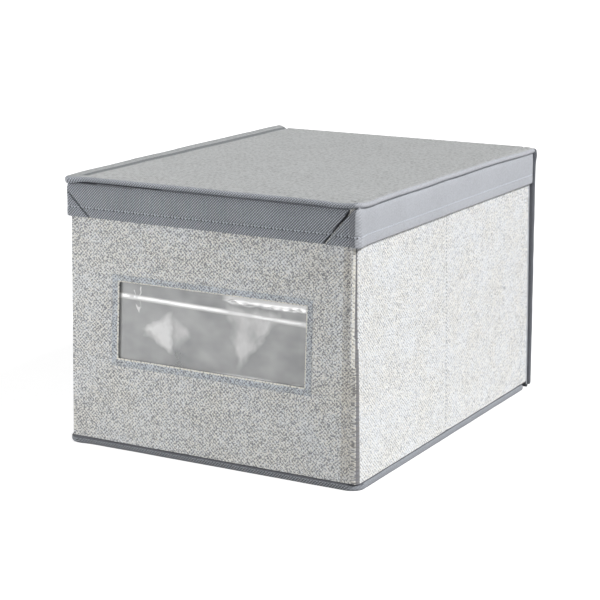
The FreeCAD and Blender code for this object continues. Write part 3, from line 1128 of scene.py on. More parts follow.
# %% [markdown]
# A face is left out where its middle lies inside the window and it belongs to the outer face of
# the front, not to the hem.
# %% Leave the window open
def in_window(c0, c1, first, second):
    """True for the faces of the front that the window leaves open."""
    on_front = c0.out_y < -0.9 and c1.out_y < -0.9
    middle_x = (c0.x + c1.x) / 2
    middle_z = (first[1] + second[1]) / 2
    outer_face = first[0] == 0 and second[0] == 0
    inside = abs(middle_x) < WINDOW_X and WINDOW_Z0 < middle_z < WINDOW_Z1
    return on_front and outer_face and inside


print("window", round(2 * WINDOW_X), "x", round(WINDOW_Z1 - WINDOW_Z0), "mm")

# %% [markdown]
# Each stretch names its two ends, the two bodies that it bends between, and where the bend starts
# and ends, seen from above.
# %% Divide the sleeve into stretches
def on_right(y):
    return lambda s: s.x > 0 and s.out_x > 0.5 and abs(s.y - y) < 1e-6


def on_left(y):
    return lambda s: s.x < 0 and s.out_x < -0.5 and abs(s.y - y) < 1e-6


FOLD_REACH = 5.0
# Each stretch: name, first stop, last stop, the two bodies it bends between, and from where to where
STRETCHES = [
    ("right_rear", on_right(INNER_BACK), on_right(SEAM_RIGHT_REAR), "shell", "side_right_rear",
     (BODY_X, RIGHT_FOLD + FOLD_REACH), (BODY_X, RIGHT_FOLD - FOLD_REACH)),
    ("right_mid", on_right(SEAM_RIGHT_REAR), on_right(SEAM_RIGHT_FRONT),
     "side_right_rear", "side_right_front",
     (BODY_X, RIGHT_CREASE + FOLD_REACH), (BODY_X, RIGHT_CREASE - FOLD_REACH)),
    ("front", on_right(SEAM_RIGHT_FRONT), on_left(LEFT_FOLD), "side_right_front", "front",
     (BODY_X, FRONT_Y + FOLD_REACH), (BODY_X - FOLD_REACH, FRONT_Y)),
    ("left_mid", on_left(LEFT_FOLD), on_left(SEAM_LEFT), "side_left_front", "side_left_rear",
     (-BODY_X, LEFT_CREASE - FOLD_REACH), (-BODY_X, LEFT_CREASE + FOLD_REACH)),
    ("left_rear", on_left(SEAM_LEFT), on_left(INNER_BACK), "side_left_rear", "shell",
     (-BODY_X, INNER_BACK - 2 * FOLD_REACH), (-BODY_X, INNER_BACK)),
]
CLOTH_NODES = {
    "right_rear": ("rear_return_fabric", "side_right_rear_fabric"),
    "right_mid": ("side_right_front_fabric",),
    "front": ("front_fabric", "front_return_fabric"),
    "left_mid": ("side_left_front_fabric",),
    "left_rear": ("side_left_rear_fabric",),
}


def bend_over(piece, bend_start, bend_end):
    """Bake a piece's place into its mesh. It is not bent between the two bodies."""
    ends = [(x * MM, y * MM, 0) for x, y in (bend_start, bend_end)]
    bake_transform(piece)


print("stretches:", len(STRETCHES))

# %% [markdown]
# The turned edge is doubled cloth with its cut ends inside, so it looks cooler and denser. Its fold catches
# the light, and that is a painted highlight: a pale line. The faces there simply get another of the wall's
# cloths.
# %% Mark the turned edge
def mark_turned_edge(cloth):
    """Give the turned edge round the window its cooler, doubled look, and its fold a painted highlight."""
    cloth.data.materials.append(TURNED_CLOTH)
    cloth.data.materials.append(FOLD_HIGHLIGHT_CLOTH)
    for face in cloth.data.polygons:
        x, y, z = face.center / MM
        if y < FRONT_Y and window_distance(x, z) < WINDOW_HEM:
            face.material_index = 1 if window_distance(x, z) > FOLD_LINE else 2


print("turned edge", WINDOW_HEM, "mm wide, fold", FOLD_LINE, "mm")

# %% [markdown]
# Down the right front corner the seam's light and shade are painted: painted shade on the seam, a painted
# highlight on the ridge beside it high up, and painted shade in the hollow further in. Each is a range of
# lengths along the cloth, read from the map that the mesh carries.
# %% Mark the corner's seam
def corner_run(route, side, pick):
    """The run at which a route's corner starts (pick=min) or ends (pick=max), on side 1 or -1."""
    return pick(stop.run for stop in route if stop.corner and stop.x * side > 0)


CORNER_RUN = (corner_run(wall_route, 1, min) + corner_run(wall_route, 1, max)) / 2
# Where the seam's strip of painted shade starts and ends along the cloth: low down, and where it is pinched
SEAM_LOW, SEAM_PINCHED = (-1.0, -0.25), (-0.9, 0.5)
RIDGE_END, RIDGE_LOW = 2.5, 110.0
HOLLOW_START, HOLLOW_END = 3.2, 10.0


def run_of(cloth, face):
    """How far along the cloth a face lies, from the map."""
    places = cloth.data.uv_layers["cloth"].data
    return sum(places[i].uv.x for i in face.loop_indices) / len(face.loop_indices)


def mark_corner_seam(cloth):
    """Down the right front corner: painted shade on the seam, a painted highlight on the ridge beside it
    and painted shade in the hollow.
    """
    ridge_highlight_slot = 2
    seam_shade_slot = len(cloth.data.materials)
    hollow_shade_slot = seam_shade_slot + 1
    cloth.data.materials.append(SEAM_SHADE_CLOTH)
    cloth.data.materials.append(HOLLOW_SHADE_CLOTH)
    for face in cloth.data.polygons:
        along = run_of(cloth, face) - CORNER_RUN
        pinch = pinched(face.center.z / MM)
        seam_start, seam_end = (low + (high - low) * pinch for low, high in zip(SEAM_LOW, SEAM_PINCHED))
        ridged = face.center.z > RIDGE_LOW * MM
        hollow_start = HOLLOW_START if ridged else seam_end
        if seam_start < along < seam_end:
            face.material_index = seam_shade_slot
        elif ridged and seam_end < along < RIDGE_END:
            face.material_index = ridge_highlight_slot
        elif hollow_start < along < HOLLOW_END:
            face.material_index = hollow_shade_slot


print("corner seam at", round(CORNER_RUN, 1), "mm along the cloth")

# %% [markdown]
# The sides face the sun and the front doesn't, so the sides get a copy of their cloth with painted
# sunlight: another grey and a fainter pattern. On a roll the faces that look sideways get the copy, and on
# a wall the faces beyond the corner do.
# %% Paint the sunlight on the sides
def paint_turned_light(cloth, material):
    """Give the faces that look left or right a second material, a copy with painted sunlight."""
    cloth.data.materials.append(material)
    for face in cloth.data.polygons:
        if abs(face.normal.x) > 0.3:
            face.material_index = len(cloth.data.materials) - 1


def paint_side_light(cloth, material, right_end, left_start):
    """Give the faces on both sides of the box a second material, a copy with painted sunlight, by their
    run.
    """
    cloth.data.materials.append(material)
    side_light_slot = len(cloth.data.materials) - 1
    for face in cloth.data.polygons:
        if not right_end <= run_of(cloth, face) <= left_start:
            face.material_index = side_light_slot


print("side cloth:", SUNLIT_SIDE_CLOTH.name)

# %% [markdown]
# The five stretches are swept and marked, and their places are baked. The size that each would be cut to is
# printed.
# %% Sew the wall cloth
for name, first, last, body_a, body_b, bend_start, bend_end in STRETCHES:
    stretch = part_of(wall_route, first, last)
    cloth = sweep(
        f"wall_cloth_{name}", stretch, wall_profile, WALL_CLOTH, wall_push, CLOTH_T,
        in_window if name == "front" else None,
    )
    if name == "front":
        mark_turned_edge(cloth)
        pull_opening(cloth)
    paint_side_light(cloth, SUNLIT_SIDE_CLOTH, corner_run(wall_route, 1, min), corner_run(wall_route, -1, max))
    if name == "front":
        mark_corner_seam(cloth)
    bend_over(cloth, bend_start, bend_end)
    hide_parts(*CLOTH_NODES[name])
    wide, tall = (stretch[-1].run - stretch[0].run) * MM, cut_height(wall_profile) * MM
    hole = 2 * WINDOW_X * (WINDOW_Z1 - WINDOW_Z0) * MM * MM if name == "front" else 0.0
    wide * tall - hole
    print("wall cloth", name, "cut", round(wide, 3), "x", round(tall, 3), "m")

# %% [markdown]
# The back wall is a flat piece of the same cloth. It runs up behind the lid's hinge, where the
# lid's own cloth laps over it, so it stops just under that lap.
# %% Shape the back cloth
def back_out(x, z):
    """How far the back cloth stands off its board."""
    edge = min(1.0, (BODY_X - abs(x)) / 20.0, (WALL_TOP - z) / 20.0)
    wave = 0.35 * smooth_noise(x / 50, z / 60, 21.0) + 0.15 * smooth_noise(x / 16, z / 22, 5.0)
    return 0.1 + max(0.0, edge) * (0.5 + wave)


def back_place(x, z):
    return x * (1 + flare(z) / BODY_X), BACK_Y + back_out(x, z), z, x, z


BACK_TOP = 246.0
back_cloth = make_grid(
    "wall_cloth_back", stops_between(-BODY_X, BODY_X, GRID_STEP * 1.5),
    stops_between(SEAM_H, BACK_TOP, GRID_STEP * 1.5), back_place, WALL_CLOTH, CLOTH_T,
)
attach(back_cloth, "shell")
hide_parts("back_fabric")
print("back cloth", 2 * BODY_X, "x", BACK_TOP - SEAM_H, "mm")

# %% [markdown]
# ## Lining
# The lining is a second sleeve inside the first, tucked under the wall cloth's hem. It bends at
# the same fold lines, so it is cut into the same five stretches.
# %% Lay out the lining
LINING_T = 0.35
LINING_TUCK = 3.0
PIVOT_GAP = 0.7
LINING_OPEN_X = WINDOW_X + 2.0
LINING_OPEN_Z0, LINING_OPEN_Z1 = WINDOW_Z0 - 2.0, WINDOW_Z1 + 2.0


def lining_push(stop, inset, z):
    """The lining stands a little off the board, towards the inside."""
    edge = min(1.0, max(0.0, (WALL_TOP - HEM_INSIDE - z) / 20.0), (z - WALL_Z0) / 12.0)
    wave = 0.3 + 0.3 * smooth_noise(stop.run / 55, z / 60, 40.0)
    return -edge * (1.0 - near_fold_line(stop)) * wave


inner_route = route_round(
    INNER_X, INNER_FRONT, INNER_BACK, 1.4, GRID_STEP * 2,
    (*side_kept, LEFT_FOLD - PIVOT_GAP, LEFT_FOLD + PIVOT_GAP), (-LINING_OPEN_X, LINING_OPEN_X),
)
lining_rows = stops_between(
    WALL_TOP - HEM_INSIDE + LINING_TUCK, WALL_Z0, GRID_STEP * 2, (LINING_OPEN_Z0, LINING_OPEN_Z1)
)
lining_profile = [(0.05, z) for z in lining_rows]
print("lining rows:", len(lining_rows))

# %% [markdown]
# The lining's opening is a little larger than the window, so that its edge doesn't show. At the
# one pivot that the linkage leaves open, two stretches end just short of each other.
# %% Sew the lining
def in_lining_window(c0, c1, first, second):
    on_front = c0.out_y < -0.9 and c1.out_y < -0.9
    inside_x = abs((c0.x + c1.x) / 2) < LINING_OPEN_X
    return on_front and inside_x and LINING_OPEN_Z0 < (first[1] + second[1]) / 2 < LINING_OPEN_Z1


LINING_NODES = {
    key: tuple(node.replace("_fabric", "_lining") for node in nodes) for key, nodes in CLOTH_NODES.items()
}
for name, first, last, body_a, body_b, bend_start, bend_end in STRETCHES:
    stretch = part_of(inner_route, first, last)
    if name == "front":
        stretch = stretch[:-1]
    if name == "left_mid":
        stretch = stretch[1:]
    lining = sweep(
        f"lining_{name}", stretch, lining_profile, LINING_CLOTH, lining_push, LINING_T,
        in_lining_window if name == "front" else None,
    )
    bend_over(lining, bend_start, bend_end)
    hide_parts(*LINING_NODES[name])
    wide, tall = (stretch[-1].run - stretch[0].run) * MM, cut_height(lining_profile) * MM
    hole = 2 * LINING_OPEN_X * (LINING_OPEN_Z1 - LINING_OPEN_Z0) * MM * MM if name == "front" else 0.0
    wide * tall - hole


print("lining cut height", round(cut_height(lining_profile), 1), "mm")

# %% [markdown]
# The back wall's lining is flat and doesn't bend, so a plain grid with a slight wave is enough.
# %% Line the back
def back_lining_place(x, z):
    return x, INNER_BACK - 0.1 - 0.25 * (1 + smooth_noise(x / 60, z / 60, 50.0)), z, x, z


BACK_LINING_TOP = 242.5
back_lining = make_grid(
    "lining_back", stops_between(INNER_X, -INNER_X, GRID_STEP * 2),
    stops_between(SEAM_H, BACK_LINING_TOP, GRID_STEP * 2), back_lining_place, LINING_CLOTH, LINING_T,
)
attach(back_lining, "shell")
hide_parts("back_lining")
2 * INNER_X * MM
print("lining stretches:", len(STRETCHES) + 1)

# %% [markdown]
# ## Window film
# The film is sewn behind the cloth's turned edges. It is thin and never quite flat: sewing pulls
# it, so it has low dents, flat-sided creases and one long fold. These could be bump in the
# material, but a fine grid takes their shape, and the reflections then break up over it.
# %% Place the film's dents
FILM_Y = FILM_LOW.y / MM
FILM_T = 0.2
# Low dents of the film, as (x, height, half length, half width, lean in degrees, depth)
FILM_DENTS = [
    (0, 100, 60, 14, 8, 0.5), (-60, 96, 26, 10, -20, 0.4),
    (70, 100, 20, 12, 50, 0.4), (-78, 146, 10, 3, 70, 0.5),
]
CREASE_DEPTH = 0.25


def facet_height(x, z, corners):
    """0 at the edges of a triangle and 1 at its middle, with three flat sides."""
    (x0, z0), (x1, z1), (x2, z2) = corners
    area = (x1 - x0) * (z2 - z0) - (x2 - x0) * (z1 - z0)
    first = ((x1 - x) * (z2 - z) - (x2 - x) * (z1 - z)) / area
    second = ((x2 - x) * (z0 - z) - (x0 - x) * (z2 - z)) / area
    return 3.0 * max(0.0, min(first, second, 1.0 - first - second))


print("dents:", len(FILM_DENTS), "creases:", len(FILM_GLARE_CREASES))

# %% [markdown]
# The creases with painted glare are shaped here as well, as low pyramids on the same triangles, so that
# where glare is painted the film is also bent. The film stays flat where it is sewn in.
# %% Dent and fold the film
def film_out(x, z):
    """Dents, one long fold and soft waves of the film, towards the front."""
    mid_z = (WINDOW_Z0 + WINDOW_Z1) / 2
    from_side = max(0.0, (WINDOW_X + 2 - abs(x)) / 8)
    from_end = max(0.0, (WINDOW_Z1 + 2 - mid_z - abs(z - mid_z)) / 5)
    inside = min(1.0, from_side, from_end)
    total = 0.35 * smooth_noise(x / 70, z / 50, 14.0) + 0.10 * smooth_noise(x / 17, z / 13, 4.0)
    for dent_x, dent_z, long, wide, lean, depth in FILM_DENTS:
        turn = math.radians(lean)
        dx, dz = x - dent_x, z - dent_z
        along = dx * math.cos(turn) + dz * math.sin(turn)
        across = dz * math.cos(turn) - dx * math.sin(turn)
        total += depth * bell(across, wide) * bell(along, long)
    for *corners, glaring in FILM_GLARE_CREASES:
        total += CREASE_DEPTH * glaring * facet_height(x, z, corners)
    streak = STREAK_LEFT + (STREAK_RIGHT - STREAK_LEFT) * (x + WINDOW_X) / (2 * WINDOW_X)
    total += 0.36 * bell(z - streak + 1.5, 2.2)
    lip_z = 148.5 + 1.6 * smooth_noise(x / 9, 0, 3.0)
    total += 1.1 * bell(z - lip_z, 4.0) * min(1.0, max(0.0, (x - 12) / 10))
    return inside * (total - 0.8)


print("film at the middle:", round(film_out(0, 120), 2), "mm")

# %% [markdown]
# One grid with lines a millimetre apart holds all of it.
# %% Make the film
def film_place(x, z):
    return x, FILM_Y + FILM_T - film_out(x, z) - FRONT_FLARE * flare(z), z, x, z


film = make_grid(
    "window_film_sheet", stops_between(WINDOW_X + FILM_LAP, -WINDOW_X - FILM_LAP, 1.0),
    stops_between(WINDOW_Z0 - FILM_LAP, WINDOW_Z1 + FILM_LAP, 1.0), film_place, FILM, FILM_T,
)
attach(film, "front")
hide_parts("window_film")
print("film", round(2 * (WINDOW_X + FILM_LAP)), "x", round(WINDOW_Z1 - WINDOW_Z0 + 2 * FILM_LAP), "mm")

# %% [markdown]
# ## Lid
# The lid is a board in grey cloth. Its top cloth carries on over the back edge and down the back wall, and
# that strip is the hinge. One sheet therefore crosses the joint.
# %% Swell the lid's panel
LID_CLOTH_T = 0.5
HINGE_LAP = 13.0
LID_BAND = 14.6
LID_HALF = LID_X - LID_BAND
LAP_Y = BACK_Y + 1.1


def lid_wave(x, y):
    """The panel is not quite flat: low swells that fade towards its edges."""
    edge = min(1.0, (LID_HALF - abs(x)) / 30, (y - LID_Y - LID_BAND) / 30, max(0.0, (BACK_Y - y) / 30))
    swell = 0.55 * smooth_noise(x / 90, y / 110, 2.0) + 0.2 * smooth_noise(x / 35, y / 40, 7.0)
    left, right, front = x + LID_HALF, LID_HALF - x, y - LID_Y - LID_BAND
    full = 1.2 * (1 - math.exp(-left / 3.0)) * min(1.0, right / 60, front / 30, max(0.0, (BACK_Y - y) / 60))
    return max(0.0, edge) * swell + full


print("swell at the middle:", round(lid_wave(0, 0), 2), "mm")

# %% [markdown]
# Seen from the side, the cloth runs back along the panel, turns over the hinge and goes down the
# back wall. The lengths along this line are the cloth's own map.
# %% Draw the line that the top cloth follows
lid_line = [(y, PANEL_TOP - 0.3) for y in stops_between(LID_Y + LID_BAND, BACK_Y - 3.5, 5.0)]
lid_line += [(BACK_Y - 2.0, TOP - 0.3), (BACK_Y - 0.6, TOP - 0.1), (BACK_Y + 0.5, TOP - 0.6)]
lid_line += [(LAP_Y, TOP - 1.6)] + [(LAP_Y, z) for z in stops_between(TOP - 3.0, TOP - HINGE_LAP, 2.0)]
lid_lengths = [0.0]
for (y0, z0), (y1, z1) in zip(lid_line, lid_line[1:]):
    lid_lengths.append(lid_lengths[-1] + math.hypot(y1 - y0, z1 - z0))


print("top cloth, cut length", round(lid_lengths[-1], 1), "mm")

# %% [markdown]
# The strip at the back is the hinge, round the lid's top back edge. The cloth is one grid, and its place is
# baked into its mesh.
# %% Make the top cloth and its hinge
def lid_place(x, row):
    """A place on the lid's cloth. On the panel it swells, and on the lap it sways."""
    y, z = lid_line[row]
    on_top = z > PANEL_TOP - 1 and y < BACK_Y - 3
    sway = 0.0 if on_top else 0.3 * smooth_noise(x / 30, z / 12, 11.0)
    rise = lid_wave(x, y) if on_top else 0.0
    return x, y + sway, z + rise, x, lid_lengths[row] + lid_line[0][0]


left_lines = [distance - LID_HALF for distance in (0.8, 1.7, 2.8, 4.2, 6.0, 8.5)]
lid_columns = stops_between(LID_HALF, -LID_HALF, 5.0, left_lines)
lid_cloth = make_grid(
    "lid_top_cloth", lid_columns, list(range(len(lid_line))), lid_place, LID_CLOTH, LID_CLOTH_T,
)
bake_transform(lid_cloth)
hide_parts("lid_top")
print("lid cloth", round(2 * LID_HALF), "x", round(lid_lengths[-1]), "mm, lap", HINGE_LAP)

# %% [markdown]
# The underside is lined with the same cloth as the walls' inside. It sags by a hair only, because
# the walls' rims come close to it when the lid is shut.
# %% Line the lid's underside
def lid_under_place(x, y):
    """The underside's cloth sags a little between its edges."""
    sag = 0.06 * (1 + smooth_noise(x / 80, y / 80, 31.0)) * min(1.0, (LID_X - 5 - abs(x)) / 20)
    return x, y, PANEL_UNDER + 0.05 - max(0.0, sag), x, y


LID_INNER = LID_X - 4.6
under_cloth = make_grid(
    "lid_under_cloth", stops_between(-LID_INNER, LID_INNER, 6.0),
    stops_between(LID_Y + 4.6, BACK_Y - 1.3, 6.0), lid_under_place, LINING_CLOTH, LINING_T,
)
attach(under_cloth, "lid")
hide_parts("lid_lining")
print("under cloth", round(2 * LID_INNER), "x", round(BACK_Y - LID_Y - 5.9), "mm")

# %% [markdown]
# The lid's front and sides end in a soft bound edge: the cloth is rolled over the board and sewn
# a finger's width in, so the edge stands a little proud of the panel and of the skirt below it. A
# bevelled tube would be too even. A closed profile swept round three sides makes the roll, and
# smooth noise makes it uneven.
# %% Draw the roll's section
EDGE_CORNER_R = 8.0
EDGE_BAND = 15.8
EDGE_STITCH = 13.6
ROLL_TOP = TOP + 1.2
LIP_UNDER = EDGE_UNDER + 4.1
welt_profile = [
    (7.0, TOP - 2.4), (6.0, TOP - 2.8), (4.6, TOP - 3.1), (2.6, LIP_UNDER), (1.1, LIP_UNDER + 0.2),
    (0.3, TOP - 2.5), (0.0, TOP - 1.5), (0.15, TOP - 0.5), (0.8, TOP + 0.3), (2.0, TOP + 0.9),
    (4.2, ROLL_TOP), (7.5, ROLL_TOP), (10.8, TOP + 0.5), (12.2, TOP - 0.2), (13.0, TOP - 0.9),
    (EDGE_STITCH, TOP - 1.1), (14.2, TOP - 0.8), (14.9, TOP - 0.3), (EDGE_BAND, TOP - 0.6),
    (EDGE_BAND, TOP - 1.6),
]
ROLL_OUTER_ROWS = 9
GROOVE_ROWS = (12, 16)
REAR_DROP = 1.8
print("roll stands", round(ROLL_TOP - TOP, 1), "mm above the solid")

# %% [markdown]
# The roll is fuller in some places than in others, bunches at the front corners, stands higher
# along the left and drops to the hinge at the right rear.
# %% Make the roll uneven
def near_corner(stop, side):
    """Distance from the right (1) or left (-1) front corner of the lid."""
    return math.hypot(stop.x - side * LID_X, stop.y - LID_Y)


def welt_push(stop, inset, z):
    """The roll is fuller in some places than in others."""
    full = 0.4 * smooth_noise(stop.run / 38, 0, 4.0) + 0.15 * smooth_noise(stop.run / 9, 0, 1.0)
    full += 2.4 * bell(near_corner(stop, -1), 12.0)
    return full * bell(inset, 3.5)


def welt_lift(stop, inset, z):
    """The roll rises and dips along the edge, more on the right side, and bunches at the corners."""
    sway = 0.6 if stop.out_x > 0.5 else 0.35
    rise = sway * smooth_noise(stop.run / 48, 0, 12.0) + 0.12 * smooth_noise(stop.run / 11, 0, 2.0)
    rise += 0.9 * bell(near_corner(stop, 1), 7.0) - 0.5 * bell(near_corner(stop, 1) - 22.0, 12.0)
    underside = min(1.0, max(0.0, (247.5 - z) / 2.5)) * bell(inset - 1.5, 3.0)
    rise -= (1.0 + 2.4 * underside) * bell(near_corner(stop, -1), 15.0)
    rise -= REAR_DROP * bell(math.hypot(stop.x - LID_X, stop.y - LID_REAR), 70.0) * bell(inset, 9.0)
    if stop.out_x < -0.5:
        rise += 1.5 * min(1.0, (stop.y - LID_Y) / 220.0) * bell(inset - 5.0, 6.0)
    return rise


print("rear drop", REAR_DROP, "mm")

# %% [markdown]
# The outer half of the roll is the skirt's cloth, with the sunlit copy on the faces that look sideways, and
# the band inside it is the lid's. On the left the band is seen at a slant and gets painted shade, and its
# stitched groove a darker painted shade, as a line.
# %% Sweep the roll and mark its band
lid_route = route_round(LID_X, LID_Y, LID_REAR, EDGE_CORNER_R, 3.0)
welt = sweep(
    "lid_rolled_edge", lid_route, welt_profile, SKIRT_CLOTH, welt_push, closed=True, lift=welt_lift,
)
paint_turned_light(welt, SKIRT_SUNLIT_SIDE)
for material in (LID_CLOTH, LID_BAND_SHADE, LID_GROOVE_SHADE):
    welt.data.materials.append(material)
for face in welt.data.polygons:
    rows = [i % len(welt_profile) for i in face.vertices]
    if len(rows) > 4 or max(rows) <= ROLL_OUTER_ROWS:
        continue
    on_left_band = face.center.x < -(LID_HALF - 2.0) * MM
    in_groove = min(rows) >= GROOVE_ROWS[0] and max(rows) <= GROOVE_ROWS[1]
    # Painted shade on the left band, darker in its groove.
    face.material_index = 2 if not on_left_band else 4 if in_groove else 3
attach(welt, "lid")
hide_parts("lid_edge_front", "lid_edge_left", "lid_edge_right")
print("rolled edge, length", round(lid_route[-1].run), "mm")

# %% [markdown]
# The skirt is one hemmed strip that hangs from the lid's edge. Its lower edge is turned up inside
# and sewn, and at each front corner the strip is folded to a mitre, which shows as a slanting
# line. It hangs free, so its edge waves a little and stands off at the left corner.
# %% Place the mitre folds
HEM_UP = 9.0
SKIRT_CORNER_R = 2.2
SKIRT_T = 0.6
SKIRT_TOP = LIP_UNDER + 2.0
SKIRT_TUCK = 5.0
FRONT_LEAN = 1.3
# Mitre folds on the front, as the top and bottom ends of each line
RIGHT_MITRE = ((139.5, 241.0), (116.0, 212.0))
LEFT_MITRE = ((-145.8, 232.5), (-124.6, 212.0))
MITRE_STEP = 1.4


def soft_step(distance, width):
    """0 before the line, 1 after it."""
    return 0.5 + 0.5 * math.tanh(2.0 * distance / width)


def beyond_line(x, z, line):
    """Distance from a slanting line, positive towards the nearer corner."""
    (x0, z0), (x1, z1) = line
    length = math.hypot(x1 - x0, z1 - z0)
    across = ((x - x1) * (z0 - z1) - (z - z1) * (x0 - x1)) / length
    return across if x0 > 0 else -across


def mitre_fold(x, z, line, step, gap, gap_width):
    """A folded edge along a slanting line: a low valley, a narrow gap, and a step up to the corner."""
    across = beyond_line(x, z, line)
    valley = -0.8 * math.exp(min(0.0, across) / 4.5) * soft_step(-across, 0.6)
    return step * soft_step(across, 0.7) + valley - gap * bell(across + gap_width, gap_width)


print("right mitre starts", round(SKIRT_X - RIGHT_MITRE[0][0], 1), "mm from the corner")

# %% [markdown]
# The skirt is tucked in under the roll and free below. Its waves grow downwards, the hem's row of
# stitches pulls a groove, and the mitres step out at the corners.
# %% Let the skirt hang
def skirt_push(stop, inset, z):
    """How the skirt hangs: tucked in at its top, with waves that grow downwards, and mitre folds."""
    down = min(1.0, max(0.0, (LIP_UNDER - z) / (LIP_UNDER - SKIRT_Z0)))
    wave = 0.55 * smooth_noise(stop.run / 55, z / 90, 6.0) + 0.25 * smooth_noise(stop.run / 17, z / 40, 2.0)
    tuck = SKIRT_TUCK * (0.35 if stop.out_x > 0.5 else 1.0)
    out = down * wave - tuck * (1.0 - down) ** 12
    out += 0.6 * bell(math.hypot(stop.x + SKIRT_X, stop.y - SKIRT_Y), 16.0)
    out += 0.8 * down * bell(math.hypot(stop.x - SKIRT_X, stop.y - SKIRT_Y), 14.0)
    if stop.out_y < -0.5:
        out += FRONT_LEAN * (0.5 - down)
    if stop.out_y < -0.99:
        out += mitre_fold(stop.x, z, RIGHT_MITRE, MITRE_STEP, 2.6, 1.1)
        out += mitre_fold(stop.x, z, LEFT_MITRE, 0.0, 2.0, 0.7)
    elif stop.x > 0:
        out += MITRE_STEP * bell(stop.y - SKIRT_Y, 9.0)
    if stop.out_y < -0.9 and stop.x > 0:
        out += 1.5 * bell(stop.x - SKIRT_X + 1.0, 5.0) - 0.7 * bell(stop.x - SKIRT_X + 9.0, 2.5)
    if inset < 0.2:
        out -= (0.8 if stop.out_y < -0.5 else 0.35) * bell(z - SKIRT_Z0 - HEM_UP, 1.0)
        out += 0.2 * bell(z - SKIRT_Z0 - HEM_UP * 0.5, 3.0)
    return out


print("hem", HEM_UP, "mm, tuck", SKIRT_TUCK, "mm")

# %% [markdown]
# The profile starts at the top of the turned-up hem inside, goes round the lower edge and up the
# outer face. Fine grid lines near the corners hold the mitres.
# %% Hang the skirt
mitre_lines = stops_between(110.0, SKIRT_X - SKIRT_CORNER_R - 1.0, 0.6)
skirt_route = route_round(
    SKIRT_X, SKIRT_Y, LID_REAR, SKIRT_CORNER_R, 1.8, (), mitre_lines + [-x for x in mitre_lines]
)
skirt_profile = [(1.5, z) for z in stops_between(SKIRT_Z0 + HEM_UP + 1.5, SKIRT_Z0 + 0.8, 2.0)]
skirt_profile += [(1.1, SKIRT_Z0 + 0.2), (0.6, SKIRT_Z0), (0.1, SKIRT_Z0 + 0.3)]
skirt_profile += [(0.0, z) for z in stops_between(SKIRT_Z0 + 0.9, SKIRT_TOP, 0.7)]
skirt = sweep("lid_skirt_strip", skirt_route, skirt_profile, SKIRT_CLOTH, skirt_push, SKIRT_T)
print("skirt cut", round(skirt_route[-1].run), "x", round(cut_height(skirt_profile), 1), "mm")

# %% [markdown]
# Under the roll and inside a fold the shade is deeper than the light alone gives at this size, so it is
# painted: the faces there get a shaded and a darker cloth, and the sides get the copy with painted
# sunlight.
# %% Shade the skirt's folds
# Where painted shade goes on the front: from and to, across the mitres, along x and below the roll
SLIT, LEFT_SHADE = (-2.6, 0.3), (-1.9, -0.3)
PLEAT = (SKIRT_X - 8.5, SKIRT_X - 1.5)
LIP_DARK, LIP_DARK_LEFT, LIP_SHADE = 1.1, 1.0, 1.2
skirt.data.materials.append(SKIRT_SHADED)
skirt.data.materials.append(SKIRT_SLIT_SHADE)
for face in skirt.data.polygons:
    x, y, z = face.center / MM
    if y > SKIRT_Y + 3.0 or z > LIP_UNDER:
        continue
    right_gap, left_gap = beyond_line(x, z, RIGHT_MITRE), beyond_line(x, z, LEFT_MITRE)
    lip = LIP_UNDER - LIP_DARK - LIP_DARK_LEFT * bell(x + SKIRT_X, 60.0)
    in_deep_shade = SLIT[0] < right_gap < SLIT[1] or z > lip
    in_shade = PLEAT[0] < x < PLEAT[1] or LEFT_SHADE[0] < left_gap < LEFT_SHADE[1] or z > lip - LIP_SHADE
    if in_deep_shade or in_shade:
        face.material_index = 2 if in_deep_shade else 1
paint_side_light(skirt, SKIRT_SUNLIT_SIDE, corner_run(skirt_route, 1, max), corner_run(skirt_route, -1, min))
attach(skirt, "lid")
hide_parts("lid_skirt_front", "lid_skirt_left", "lid_skirt_right")
skirt_route[-1].run * MM
cut_height(skirt_profile) * MM
print("shaded faces:", len([f for f in skirt.data.polygons if f.material_index in (1, 2)]))

# %% [markdown]
# ## Bound seams
# Each seam is closed in a folded tape. Round the bottom it is a low roll on the floor, with a
# groove along its top where the wall's cloth comes down. A closed profile, swept along the three
# sides, makes it.
# %% Bind the bottom seam
SEAM_CORNER_R = 8.5
SEAM_END = 176.0
SEAM_GROOVE_ROW = 5
seam_profile = [
    (9.0, 0.25), (2.4, 0.0), (0.9, 0.5), (0.15, 1.7), (0.0, 3.2), (0.2, 4.9), (0.9, 6.1), (2.2, 6.7),
    (6.4, 6.6), (9.0, 3.0),
]


def seam_push(stop, inset, z):
    """The tape follows the flare of the walls and is fuller in places."""
    full = 0.3 * smooth_noise(stop.run / 30, 0, 5.0)
    full += 3.0 * bell(math.hypot(stop.x + SEAM_X, stop.y - SEAM_Y), 14.0)
    forward = max(0.0, -stop.out_y)
    return flare(z) * (1.0 - forward + forward * FRONT_FLARE) + full


def seam_lift(stop, inset, z):
    """The tape's top is uneven too, and its foot stays on the floor."""
    return 0.35 * smooth_noise(stop.run / 40, 0, 8.0) * (z / SEAM_H)


print("tape section:", len(seam_profile), "points")

# %% [markdown]
# The tape's sides get the copy with painted sunlight, and its upper rows painted shadow where the wall's
# cloth comes down into the groove. One row more is in painted shadow on the front than on the sides.
# %% Sweep the bottom tape
seam_route = route_round(SEAM_X, SEAM_Y, SEAM_END, SEAM_CORNER_R, 2.5)
bottom_seam = sweep(
    "bottom_seam_tape", seam_route, seam_profile, TAPE, seam_push, closed=True, lift=seam_lift,
)
paint_turned_light(bottom_seam, TAPE_SUNLIT_SIDE)
bottom_seam.data.materials.append(TAPE_GROOVE_SHADOW)
